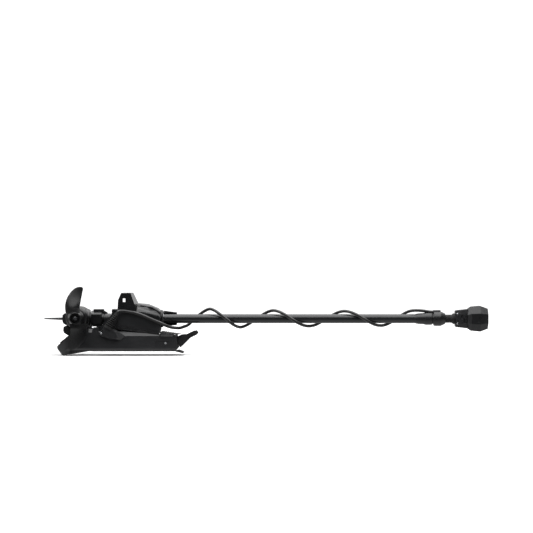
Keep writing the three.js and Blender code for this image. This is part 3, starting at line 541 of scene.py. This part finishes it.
# Near-black colours that several materials share, as the darkest and the lightest of their patches.
CAST_BLACK = [(0.010, 0.0105, 0.0115), (0.016, 0.0165, 0.018)]
MOULDED_BLACK = [(0.009, 0.0093, 0.0102), (0.014, 0.0145, 0.0158)]
SATIN_BLACK = [(0.008, 0.0083, 0.0092), (0.012, 0.0125, 0.0138)]
RUBBER_BLACK = [(0.008, 0.008, 0.0085), (0.014, 0.014, 0.0145)]
CABLE_BLACK = [(0.007, 0.007, 0.0075), (0.011, 0.011, 0.0115)]
SHAFT_BLACK = [(0.012, 0.013, 0.0145), (0.018, 0.0195, 0.021)]
BLADE_BLACK = [(0.0038, 0.004, 0.0044), (0.006, 0.0063, 0.0068)]
PAINT_BLACK = [(0.004, 0.0042, 0.0046), (0.007, 0.0073, 0.008)]


def make_materials():
    """One material for each of the record's slots, and finishes for pieces that differ from them."""
    made = {}

    def put(name, *args, **kwargs):
        """Keeps a new material under its name and gives its shader back."""
        made[name], shader = make_material(name, *args, **kwargs)
        return shader

    put("casting", *CAST_BLACK, (0.34, 0.42), grain=(1400, 0.3, 0.0001))
    put("moulding", *MOULDED_BLACK, (0.34, 0.42), grain=(2200, 0.25, 0.00008))
    rubber = put("rubber", *RUBBER_BLACK, (0.6, 0.75), grain=(700, 0.3, 0.00012))
    rubber.inputs["Specular IOR Level"].default_value = 0.35
    put("steel", (0.42, 0.43, 0.45), (0.6, 0.61, 0.63), (0.22, 0.36), 1.0, stretch=(1, 1, 12))
    put("shaft", *SHAFT_BLACK, (0.18, 0.26), stretch=(0.06, 1, 1))
    put("bronze", (0.3, 0.19, 0.08), (0.46, 0.31, 0.14), (0.32, 0.5), 1.0)
    put("winding", (0.26, 0.1, 0.04), (0.42, 0.18, 0.08), (0.3, 0.5), 0.8, stretch=(1, 8, 1))
    put("board", (0.01, 0.08, 0.035), (0.02, 0.14, 0.06), (0.35, 0.5))
    put("propeller", *BLADE_BLACK, (0.25, 0.31), grain=(500, 0.15, 0.00006))
    cable = put("cable", *CABLE_BLACK, (0.3, 0.38), grain=(1200, 0.2, 0.00006))
    cable.inputs["Specular IOR Level"].default_value = 0.6
    put("satin", *SATIN_BLACK, (0.2, 0.26), grain=(2200, 0.2, 0.00005))
    put("motor_paint", *PAINT_BLACK, (0.3, 0.38), grain=(1400, 0.3, 0.0001))
    dull = put("dull_moulding", *MOULDED_BLACK, (0.4, 0.48))
    dull.inputs["Specular IOR Level"].default_value = 0.3
    return made


# ---------------------------------------------------------------- placing pieces
MATERIALS = make_materials()


def placed(obj, body, slot, *nodes, material=None):
    """Gives a piece the material of its slot or the one named, hangs it on the CAD body it rides on and
    hides the CAD nodes it stands for.
    """
    obj.data.materials.clear()
    obj.data.materials.append(MATERIALS[material or slot])
    if body:
        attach(obj, body)
    if nodes:
        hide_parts(*nodes)
    return obj


def paint_carried_nodes():
    """Gives every CAD node that stays its slot's material."""
    slots = {row["node"]: row["material_slot"] for row in frame["record"]["subparts"]}
    for name, obj in frame["nodes"].items():
        obj.data.materials.clear()
        obj.data.materials.append(MATERIALS[slots[name]])


# ---------------------------------------------------------------- mount
PIVOT = (-138, 85)
WALL_HALF = 88
# Fillet along each lower corner of the tray, where the outer chamfer comes close: (|y|, z).
TRAY_CORNER = [(80.6, 5.4), (83.6, 8.9), (82.2, 10.0), (78.5, 5.6)]
# The engraved line round the button: (x, z).
BUTTON_LINE = [(109, 56), (110.5, 45), (115, 32), (124, 27), (150, 27), (166, 28), (172, 38)]


def build_walls():
    """The cast base with a line round its button, its rubber ramp pads and its two boss covers."""
    wall = cad_copy("base_frame", "mount_casting")
    for side in (-1, 1):
        strip = [(side * y, z) for y, z in TRAY_CORNER]
        joined(wall, prism("strip", strip, "X", -150, 178))
    softened(wall, 2.0)
    for side in (-1, 1):
        path = [(x, side * WALL_HALF, z) for x, z in BUTTON_LINE]
        carved(wall, swept("line", smooth_path(path, 1.5), lambda travel: 1.3, 10))
    placed(shaded(wall, 35), "mount", "casting", "base_frame")
    for side in ("near", "far"):
        pad = softened(cad_copy(f"ramp_pad_{side}", f"bow_ramp_{side}"), 1.2)
        placed(pad, "mount", "rubber", f"ramp_pad_{side}")
        cover = softened(cad_copy(f"{side}_side_cover", f"{side}_boss_cover"), 6.0, 5, angle=12)
        placed(cover, "mount", "moulding", f"{side}_side_cover")


def build_pivot_screw():
    """Domed screw with a hexagonal socket, over the stow pivot."""
    profile = [(0, -108.4), (3.4, -108.4), (4.6, -107), (4.6, -104.3), (3, -104.3), (3, -88.5), (0, -88.5)]
    screw = lathed("pivot_bolt", profile, "Y", PIVOT, 48, 0.8)
    socket = prism("socket", arc(PIVOT, 2.0, 0, 300, 5), "Y", -112, -105.8)
    placed(shaded(carved(screw, socket), 40), "mount", "steel", "pivot_screw")


def build_deck_cover():
    """Moulded cover over the base's tray."""
    cover = softened(cad_copy("base_top_cover", "deck_cover"), 4.0, 4)
    placed(cover, "mount", "moulding", "base_top_cover")


TREADS = 7


def build_step_pad():
    """Rubber step with raised treads that follow its crown."""
    step = softened(cad_copy("rear_step_pad", "step_pad"), 3.0, 4)
    placed(step, "mount", "rubber", "rear_step_pad", material="moulding")
    low, high = box_of("rear_step_pad")
    pitch = (high.x - low.x - 24) / TREADS
    treads = cad_copy("rear_step_pad", "step_treads")
    treads.data.transform(Matrix.Translation((0, 0, 1.1 * MM)))
    bars = []
    for i in range(TREADS):
        x = low.x + 14 + i * pitch
        bars.append(block(f"bar{i}", (x, x + pitch * 0.45), (-62, 62), (72, 110)))
    keep = treads.modifiers.new("keep", "BOOLEAN")
    keep.operation = "INTERSECT"
    keep.solver = "EXACT"
    comb = merged("comb", bars)
    keep.object = comb
    applied(treads)
    bpy.data.objects.remove(comb)
    placed(softened(treads, 0.5, 2), "mount", "rubber", material="moulding")


def build_rear_foot():
    """Thin rubber lip under the back of the base."""
    foot = softened(cad_copy("rear_foot", "rear_lip"), 1.5)
    placed(foot, "mount", "rubber", "rear_foot")


# Middle of the cable boot at each end.
BOOT_FOOT = (-107, -96, 104)
BOOT_TOP = (-66, -94, 175)
BOOT_RIBS = 7


def build_boot():
    """Ribbed and tapered strain relief that the cable comes out of."""
    foot, top = Vector(BOOT_FOOT), Vector(BOOT_TOP)
    length = (top - foot).length
    plain = 0.12 * length

    def radius(travel):
        """Outer radius of the boot at a distance from its foot."""
        share = travel / length
        outer = np.interp(share, [0, 0.5, 1], [23, 18, 8.4])
        wave = 0.5 - 0.5 * math.cos(2 * math.pi * BOOT_RIBS * (travel - plain) / (length - 2 * plain))
        if plain < travel < length - plain:
            return outer * (1 - 0.42 * max(0.0, wave - 0.2) / 0.8)
        return outer

    path = [foot.lerp(top, i / 132) for i in range(133)]
    boot = swept("boot", path, radius, 40)
    for vertex in boot.data.vertices:
        share = min(1.0, max(0.0, (vertex.co.z / MM - foot.z) / (top.z - foot.z)))
        middle = (foot.y + (top.y - foot.y) * share) * MM
        vertex.co.y = middle + (vertex.co.y - middle) * (0.62 + 0.34 * share)
    placed(boot, "mount", "rubber", "cable_boot")


def build_button():
    """Power button: a bright domed cap in the recess of the near wall."""
    profile = [(0, -89), (3.4, -88.9), (4.4, -88.2), (4.4, -76.2), (0, -76.2)]
    placed(lathed("button_cap", profile, "Y", (157, 38), 40, 0.5), "button", "steel", "power_button")


def build_pedal():
    """Release pedal with its rubber tip."""
    lever = softened(cad_copy("release_pedal", "pedal_lever"), 3.0, 4)
    placed(lever, "pedal", "moulding", "release_pedal")
    pad = softened(cad_copy("pedal_pad", "pedal_tip"), 3.0, 4)
    placed(pad, "pedal", "rubber", "pedal_pad")


SPRING_TURNS = 6


def build_latch_spring():
    """Helical return spring behind the latch bolt's flange."""
    low, high = box_of("latch_spring")
    steps = 24 * SPRING_TURNS
    radius = (high.z - low.z) / 2 - 1.1
    middle = (low.z + high.z) / 2
    path = []
    for i in range(steps + 1):
        a = 2 * math.pi * SPRING_TURNS * i / steps
        x = low.x + 1 + (high.x - low.x - 2) * i / steps
        path.append((x, radius * math.cos(a), middle + radius * math.sin(a)))
    spring = placed(swept("return_spring", path, lambda travel: 0.9, 10), "mount", "steel", "latch_spring")
    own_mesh(spring)


def build_mount():
    """Everything that stays on the deck."""
    build_walls()
    build_pivot_screw()
    build_deck_cover()
    build_step_pad()
    build_rear_foot()
    build_boot()
    build_button()
    build_pedal()
    build_latch_spring()


# ---------------------------------------------------------------- steering housing
HOUSING_Y = 75
# The lower edge of the housing's sides: (x, z).
SEAM = [(-60, 102.5), (122, 80)]


def rim_cutters():
    """Grooves that leave a rim along the lower edge of each side."""
    slope = (SEAM[1][1] - SEAM[0][1]) / (SEAM[1][0] - SEAM[0][0])
    cutters = []
    for side in (-1, 1):
        for rise, height in ((6.5, 3.0), (14.0, 2.0)):
            line = [(x, SEAM[0][1] + slope * (x - SEAM[0][0]) + rise) for x in (-58, 118)]
            outline = [*line, *[(x, z + height) for x, z in reversed(line)]]
            limits = sorted((side * (HOUSING_Y - 1.8), side * (HOUSING_Y + 1)))
            cutters.append(prism("groove", outline, "Y", *limits))
    return cutters


def build_shell():
    """Cast housing with a sunk front end, a rim and cover screws."""
    shell = cad_copy("steering_housing", "housing_shell")
    for side in (-1, 1):
        limits = sorted((side * (HOUSING_Y - 2.5), side * (HOUSING_Y + 2)))
        carved(shell, block("front", (-95, -63), limits, (112, 186)))
    carved(shell, *rim_cutters())
    placed(softened(shell, 1.6, 2), "housing", "casting", "steering_housing")


def ellipse(centre, half_x, half_z, steps=32):
    """Points of an ellipse in the XZ plane."""
    angles = np.linspace(0, 2 * math.pi, steps + 1)[:-1]
    return [(centre[0] + half_x * math.cos(a), centre[1] + half_z * math.sin(a)) for a in angles]


def build_tower():
    """Rope tower with a wide mouth round its near slot and a slit from it up to the top."""
    tower = cad_copy("tower_cover", "rope_tower")
    mouth = prism("mouth", ellipse((-37.5, 234.5), 8.5, 13), "Y", -HOUSING_Y - 1, -HOUSING_Y + 1.8)
    slit = block("slit", (-37.2, -31.6), (-HOUSING_Y - 1, -HOUSING_Y + 1.8), (238, 275))
    carved(tower, mouth, slit)
    placed(softened(tower, 2.4, 4), "housing", "moulding", "tower_cover", material="satin")


# The barrel cover's top edge as (x, z) and its side as (z, |y|), and how much fuller its side is made.
BARREL_TOP = [(24, 221), (70, 217), (117, 197), (131, 184)]
BARREL_SIDE = [(152, 74), (182, 73), (206, 60), (221, 36)]
BARREL_FULLNESS = [(152, 1.0), (182, 1.1), (206, 1.25), (221, 1.38)]
GROOVE_DROP = 13.5
GROOVE_R = 1.7


def build_barrel():
    """Rounded gear cover with a groove along each shoulder."""
    barrel = cad_copy("barrel_cover", "gear_cover")
    for vertex in barrel.data.vertices:
        vertex.co.y *= np.interp(vertex.co.z / MM, *zip(*BARREL_FULLNESS))
    rounded(barrel, 9.0, 6)
    for side in (-1, 1):
        path = []
        for x in np.linspace(20, 134, 58):
            z = np.interp(x, *zip(*BARREL_TOP)) - GROOVE_DROP
            path.append((x, side * (np.interp(z, *zip(*BARREL_SIDE)) - 0.6), z))
        carved(barrel, swept("bead", path, lambda travel: GROOVE_R, 10))
    placed(shaded(barrel, 50), "housing", "moulding", "barrel_cover", material="satin")


def build_rear_ring():
    """Turned ring round the shaft, where it comes out of the housing."""
    profile = [(27, 131.4), (42, 131.4), (42, 134), (38.6, 134.8), (38.6, 136.8), (40.6, 137.4)]
    profile += [(39.6, 140), (34, 143), (27, 143), (27, 131.4)]
    ring = lathed("end_ring", profile, "X", (0, 0, SHAFT_Z), 96, 0.6)
    placed(ring, "housing", "moulding", "rear_end_ring")


def build_guide():
    """Guides above and below the shaft, behind the housing."""
    guide = softened(cad_copy("exit_guide", "shaft_guide"), 1.5, 2)
    placed(guide, "housing", "moulding", "exit_guide")


def build_housing():
    """Everything that tilts with the steering housing."""
    build_shell()
    build_tower()
    build_barrel()
    build_rear_ring()
    build_guide()


# ---------------------------------------------------------------- shaft
SHAFT_Z = 149
SHAFT_LINE = (0, 0, SHAFT_Z)
SHAFT_R = 21
SHAFT_WALL = 4.5
SHAFT_ROOM = 21.3  # bore of what fits round the shaft
MOTOR = (-253, 0, 154)
MOTOR_R = 51


def motor_room():
    """The space that the motor's tube takes, as a cutter."""
    radius = MOTOR_R + 0.3
    return lathe("room", [(0, -130), (radius, -130), (radius, 130), (0, 130)], "Y", MOTOR, 96)


def shaft_cutter(start, end):
    """The space that the shaft takes between two places along it, as a cutter."""
    profile = [(0, start), (SHAFT_ROOM, start), (SHAFT_ROOM, end), (0, end)]
    return lathe("shaft_room", profile, "X", SHAFT_LINE)


def build_shaft():
    """Composite tube, open from end to end for the motor's wires."""
    inner = SHAFT_R - SHAFT_WALL
    profile = [(inner, -150), (SHAFT_R, -150), (SHAFT_R, 1440), (inner, 1440), (inner, -150)]
    placed(lathed("shaft_tube", profile, "X", SHAFT_LINE, 96, 0.6), "shaft", "shaft", "main_shaft")


# Outline of the neck's block across the shaft: (y, z).
NECK_SECTION = [
    (-33, 126), (-26, 113), (26, 113), (33, 126), (33, 170),
    (21, 181), (8, 186.5), (-8, 186.5), (-21, 181), (-33, 170),
]


def build_neck():
    """Cast neck: a round shoulder at the motor, a deep groove and a squared block that grips the shaft."""
    outer = [(0, -240), (44, -240), (47, -214), (45, -205), (42.5, -199), (42, -197.5), (0, -197.5)]
    shoulder = lathe("neck_casting", rounded_profile(outer, 2.0), "X", SHAFT_LINE, 96)
    core = lathe("core", [(0, -205), (29, -205), (29, -185), (0, -185)], "X", SHAFT_LINE, 64)
    end = lathe("end", [(0, -150), (30, -150), (26.5, -134), (0, -134)], "X", SHAFT_LINE, 64)
    web = block("web", (-144, -134), (-12, 12), (152, 183))
    grip = softened(prism("grip", NECK_SECTION, "X", -191.5, -142), 2.2, 3)
    socket = shaft_cutter(-150.3, -100)
    neck = carved(joined(shoulder, core, end, web, grip), motor_room(), socket)
    placed(shaded(neck, 40), "shaft", "casting", "motor_neck", material="motor_paint")
    clamp = softened(cad_copy("neck_clamp", "clamp_block"), 2.5, 3)
    placed(clamp, "shaft", "moulding", "neck_clamp")
    profile = [(SHAFT_ROOM, -133.6), (24, -133.6), (24.6, -124), (24.5, -112), (24, -97)]
    profile += [(SHAFT_ROOM, -97), (SHAFT_ROOM, -133.6)]
    collar = lathed("collar_ring", profile, "X", SHAFT_LINE, 96, 0.8)
    lug = softened(prism("lug", [(-133.4, 172), (-117, 172), (-117, 178), (-133.4, 187)], "Y", -6, 6), 1.5)
    placed(joined(collar, lug), "shaft", "moulding", "neck_collar")


# ---------------------------------------------------------------- motor
def build_motor_tube():
    """Aluminium tube with a shallow groove near each end."""
    outer = [(51, -85), (51, -76), (50.2, -75), (50.2, -73), (51, -72), (51, 82), (50.2, 83)]
    outer += [(50.2, 85), (51, 86), (51, 95)]
    profile = [(46, -85), *outer, (46, 95), (46, -85)]
    tube = lathed("motor_tube", profile, "Y", MOTOR, 128, 0.6)
    wire_way = lathe("wires", [(0, -225), (7, -225), (7, -190), (0, -190)], "X", SHAFT_LINE, 24)
    placed(shaded(carved(tube, wire_way), 40), "shaft", "casting", "motor_housing", material="motor_paint")


def build_end_bell():
    """Turned end bell that holds the propeller-side bearing."""
    profile = [(9, -98), (37, -98), (43.5, -95.5), (48.5, -91), (51, -85.3), (45.7, -85.3), (45.7, -74)]
    profile += [(18.3, -74), (18.3, -86.5), (13, -86.5), (13, -92), (9, -92), (9, -98)]
    bell = lathed("end_bell", profile, "Y", MOTOR, 128, 1.2)
    placed(bell, "shaft", "casting", "motor_end_bell", material="motor_paint")


def ogive(radius, start, tip, steps=28):
    """Profile of a rounded nose, from its base to its tip on the axis."""
    points = []
    for i in range(steps + 1):
        t = i / steps
        points.append((radius * math.sqrt(max(0.0, 1 - t**2.2)), start + (tip - start) * t))
    points[-1] = (0, tip)
    return points


def build_nose():
    """Rounded nose with the seat of its bearing."""
    inner = ogive(44, 95.3, 203)[::-1]
    spigot = [(41, 82), (12, 82), (12, 79), (17.8, 79), (17.8, 68), (45.7, 68), (45.7, 95.3)]
    nose = lathe("motor_nose", [*inner, *spigot, *ogive(51, 95.3, 215)], "Y", MOTOR, 128)
    placed(shaded(nose, 40), "shaft", "casting", "nose_cone", material="motor_paint")


def build_motor_trim():
    """Skeg, its fairing and the pod below it."""
    skeg = softened(cad_copy("skeg", "skeg_fin"), 0.8, 3)
    placed(skeg, "shaft", "propeller", "skeg", material="motor_paint")
    fairing = softened(cad_copy("skeg_fairing", "fin_fairing"), 5.0, 4)
    placed(fairing, "shaft", "moulding", "skeg_fairing")
    pod = softened(cad_copy("sonar_pod", "sonar_shell"), 4.0, 4)
    placed(pod, "shaft", "moulding", "sonar_pod")


# ---------------------------------------------------------------- propeller
PROP_Y = -126
# Outline of the upper blade about the motor's axis, up one edge and down the other: (x, z).
BLADE_EDGE = [
    (-48, 24), (-51, 47), (-48.5, 70), (-40, 95), (-30, 111), (-17, 127), (-3, 138), (11, 143.5),
    (22, 144.3), (31, 142.5), (35, 136), (33, 125), (29, 102), (24.5, 76), (22, 53), (22, 24),
]
BLADE_TWIST = -32
BLADE_RAKE = 0.32
BLADE_ROOT = 24
BLADE_TIP = 144.3
BLADE_ROWS = 44
BLADE_COLUMNS = 22


def blade_edges():
    """The blade's leading and trailing edges as a chord for each height, from one smooth outline."""
    outline = smooth_path([(x, 0, z) for x, z in BLADE_EDGE], 0.5)
    top = int(np.argmax(outline[:, 2]))
    left, right = outline[: top + 1], outline[top:][::-1]
    rows = []
    for i in range(BLADE_ROWS + 1):
        share = math.sin(math.pi / 2 * i / BLADE_ROWS)
        z = BLADE_ROOT + (left[-1][2] - BLADE_ROOT - 0.02) * share
        x0 = np.interp(z, left[:, 2], left[:, 0])
        x1 = np.interp(z, right[:, 2], right[:, 0])
        rows.append((z, x0, x1))
    return rows


def blade(name, turn):
    """One twisted blade with an aerofoil section, thicker at its root than at its tip."""
    points, front, back = [], [], []
    for z, x0, x1 in blade_edges():
        radius = max(z, 46)
        middle = -14 + BLADE_RAKE * (radius - 53)
        root_share = max(0.0, (BLADE_TIP - z) / (BLADE_TIP - BLADE_ROOT))
        thick = 2.6 + 3.4 * root_share**1.5
        rows = ([], [])
        for k in range(BLADE_COLUMNS + 1):
            u = 0.5 - 0.5 * math.cos(math.pi * k / BLADE_COLUMNS)
            x = x0 + (x1 - x0) * u
            y = PROP_Y + (x - middle) * BLADE_TWIST / radius
            half = thick * (0.12 + 1.76 * math.sqrt(max(0.0, u * (1 - u)))) / 2
            for row, side in zip(rows, (-1, 1)):
                row.append(len(points))
                points.append((x, y + side * half, z))
        front.append(rows[0])
        back.append(rows[1])
    faces = []
    for grid in (front, back):
        for a, b in zip(grid, grid[1:]):
            faces += [[a[k], a[k + 1], b[k + 1], b[k]] for k in range(BLADE_COLUMNS)]
    for a, b in zip(zip(front, back), zip(front[1:], back[1:])):
        for k in (0, BLADE_COLUMNS):
            faces.append([a[0][k], b[0][k], b[1][k], a[1][k]])
    for grids in ((front[0], back[0]), (front[-1], back[-1])):
        f, b = grids
        faces += [[f[k], f[k + 1], b[k + 1], b[k]] for k in range(BLADE_COLUMNS)]
    spin = Matrix.Rotation(turn, 4, "Y")
    shift = Vector(MOTOR)
    return from_lists(name, [spin @ Vector(p) + shift for p in points], faces)


def build_propeller():
    """Two blades joined to a turned hub with a sunk face."""
    profile = [(8.3, -99), (38, -99), (38.4, -106), (37.6, -114), (35, -128), (30.5, -140), (27.5, -147)]
    profile += [(26, -150), (21, -150), (19.5, -146), (19.5, -138), (8.3, -138), (8.3, -99)]
    hub = lathe("hub", rounded_profile(profile, 1.6), "Y", MOTOR, 96)
    joined(hub, blade("upper", 0), blade("lower", math.pi))
    bore = lathe("bore", [(0, -160), (8.3, -160), (8.3, -90), (0, -90)], "Y", MOTOR, 48)
    recess = [(8.2, -138), (19.5, -138), (19.5, -160), (8.2, -160), (8.2, -138)]
    room = lathe("room", recess, "Y", MOTOR, 96)
    slot = block("pin", (MOTOR[0] - 15, MOTOR[0] + 15), (-104.5, -98), (MOTOR[2] - 2.5, MOTOR[2] + 2.5))
    carved(hub, bore, room, slot)
    hub.name = "blades_and_hub"
    placed(shaded(hub, 42), "prop", "propeller", "propeller")


def build_prop_nut():
    """Hexagonal nut with a rounded nose."""
    nut = softened(cad_copy("prop_nut", "hub_nut"), 0.9, 3)
    placed(nut, "prop", "steel", "prop_nut", material="shaft")


def build_motor():
    """Tube, neck, motor and propeller."""
    build_shaft()
    build_neck()
    build_motor_tube()
    build_end_bell()
    build_nose()
    build_motor_trim()
    build_propeller()
    build_prop_nut()


# ---------------------------------------------------------------- collars and control head
BOLT_X = 1506
BOLT_RISE = 22.5


def build_depth_collar():
    """Clamp ring that sets the motor's depth, split along its top."""
    profile = [(SHAFT_ROOM, 1314), (22.5, 1314), (24.6, 1325), (25.4, 1337), (26, 1350), (29, 1361)]
    profile += [(29, 1388), (27, 1391), (SHAFT_ROOM, 1391), (SHAFT_ROOM, 1314)]
    collar = lathe("clamp_ring", rounded_profile(profile, 1.6), "X", SHAFT_LINE, 96)
    split = block("split", (1312, 1395), (-11, 5), (SHAFT_Z + 22.5, SHAFT_Z + 60))
    placed(shaded(carved(collar, split), 40), "shaft", "moulding", "depth_collar")


def build_cable_collar():
    """Collar with the hood that takes the cable into the head."""
    profile = [(SHAFT_ROOM, 1392), (25, 1392), (25, 1397), (33, 1398), (34.2, 1402), (34.2, 1430)]
    profile += [(24.4, 1451), (SHAFT_ROOM, 1452), (SHAFT_ROOM, 1392)]
    ring = lathe("collar", rounded_profile(profile, 1.4), "X", SHAFT_LINE, 96)
    section = [(-14, 173), (8, 173), (8, 186), (2, 190), (-8, 190), (-14, 186)]
    hood = softened(prism("hood", section, "X", 1396, 1430), 2.5, 4)
    joined(ring, hood)
    shaft_room = shaft_cutter(1380, 1460)
    mouth = lathe("mouth", [(0, 1380), (7.6, 1380), (7.6, 1414), (0, 1414)], "X", (0, -3, 180.5), 40)
    ring.name = "cable_hood"
    placed(shaded(carved(ring, shaft_room, mouth), 40), "shaft", "moulding", "cable_collar")


def build_head_neck():
    """Rubber sleeve with shallow ribs and a flange."""
    outer = [(19.7, 1441), (19.7, 1446)]
    for i in range(6):
        x = 1448 + i * 5.6
        outer += [(19.7, x), (18.6, x + 1.2), (18.6, x + 2.6), (19.7, x + 3.8)]
    outer += [(19.7, 1484), (25, 1487), (25, 1498)]
    profile = [(10, 1441), *outer, (10, 1498), (10, 1441)]
    placed(lathed("neck_sleeve", profile, "X", SHAFT_LINE, 96, 0.8), "shaft", "rubber", "head_neck")


def build_bracket():
    """Cast bracket with two sunk bolts and a slot between them."""
    bracket = cad_copy("head_bracket", "head_casting")
    slot = block("slot", (1524, 1530), (-36, -30.5), (148, 168))
    window = block("window", (1536, 1549), (-36, -31.5), (128, 150))
    carved(bracket, slot, window)
    placed(softened(bracket, 1.5, 3), "shaft", "casting", "head_bracket")
    for side, name in ((1, "upper"), (-1, "lower")):
        centre = (BOLT_X, 0, SHAFT_Z + side * BOLT_RISE)
        dome = [(5.6 * math.sin(a), -28.6 - 5.0 * math.cos(a)) for a in np.linspace(0, math.pi / 2, 9)]
        profile = [*dome, (5.6, -28.3), (2.5, -28.3), (2.5, -11), (0, -11)]
        bolt = shaded(lathe(f"{name}_head_bolt", profile, "Y", centre, 40), 40)
        placed(bolt, "shaft", "steel", f"head_bolt_{name}")


def build_head():
    """Eight-sided control head with a sunk panel on each side."""
    shell = cad_copy("head_shell", "control_head")
    low, high = box_of("head_shell")
    for side, face in ((-1, low.y), (1, high.y)):
        limits = sorted((face - side * 1.8, face + side * 5))
        carved(shell, block("panel", (1574, 1611), limits, (133, 162)))
    softened(shell, 2.4, 4, angle=15)
    placed(shell, "shaft", "moulding", "head_shell", material="dull_moulding")


def build_controls():
    """Collars, neck, bracket and head at the upper end of the shaft."""
    build_depth_collar()
    build_cable_collar()
    build_head_neck()
    build_bracket()
    build_head()


# ---------------------------------------------------------------- power cable
CABLE_R = 7
CABLE_FRONT_RUN = [
    (-65.6, -94, 175.6), (-61.5, -93.8, 181.4), (-54, -91.8, 186), (-43, -88.5, 187), (-24, -84.5, 185),
    (6, -83.2, 180), (25, -83, 175), (52, -83, 166), (84, -83, 152), (108, -83, 142),
    (131, -83.2, 132), (154, -73.5, 121), (176, -56, 112), (198, -38, 107.5), (220, -16, 106.5),
]
# Where the winding passes under, behind, over and in front of the shaft: (x, distance from its axis).
WINDING = [
    (238, 37), (285, 34), (359, 45), (434, 36), (501, 39.5), (577, 32), (653, 38),
    (737, 36), (822, 34.5), (903, 32), (984, 35), (1074, 33), (1154, 32), (1228, 33),
    (1305, 38),
]
CABLE_END_RUN = [(1345, -3, 186), (1366, -3, 183), (1386, -3, 180.7), (1406, -3, 180.5)]
POINTS_PER_QUARTER = 3
CABLE_CUTS = (160, 250)
CABLE_SPACING = 4


def winding_points():
    """A quarter turn per station, from below through behind to the top and the front."""
    points = []
    for i, (here, after) in enumerate(zip(WINDING, WINDING[1:])):
        for j in range(POINTS_PER_QUARTER):
            t = j / POINTS_PER_QUARTER
            x = here[0] + (after[0] - here[0]) * t
            r = here[1] + (after[1] - here[1]) * t
            a = (i + t) * math.pi / 2
            points.append((x, r * math.sin(a), SHAFT_Z - r * math.cos(a)))
    points.append((WINDING[-1][0], -2, SHAFT_Z + WINDING[-1][1]))
    return points


def build_cable():
    """One cable in three stretches along one smooth route, each in place of its CAD node."""
    route = smooth_path([*CABLE_FRONT_RUN, *winding_points(), *CABLE_END_RUN], 1.0)
    travel = np.concatenate([[0], np.cumsum(np.linalg.norm(np.diff(route, axis=0), axis=1))])
    cuts = [0.15, *CABLE_CUTS, travel[-1] - 0.15]
    stretches = [
        ("cable_from_boot", "cable_side_run", "mount", "housing"),
        ("cable_to_shaft", "cable_exit_run", "housing", "sleeve"),
        ("cable_round_shaft", "cable_winding", "sleeve", "shaft"),
    ]
    for (name, node, before, after), start, end in zip(stretches, cuts, cuts[1:]):
        count = int(round((end - start) / CABLE_SPACING)) + 1
        wanted = np.linspace(start, end, count)
        path = np.stack([np.interp(wanted, travel, route[:, k]) for k in range(3)], axis=1)
        piece = placed(swept(name, path, lambda t: CABLE_R, 24), None, "cable", node)
        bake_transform(piece)


# ---------------------------------------------------------------- finish
paint_carried_nodes()
make_studio()
build_cable()
build_mount()
build_housing()
build_motor()
build_controls()
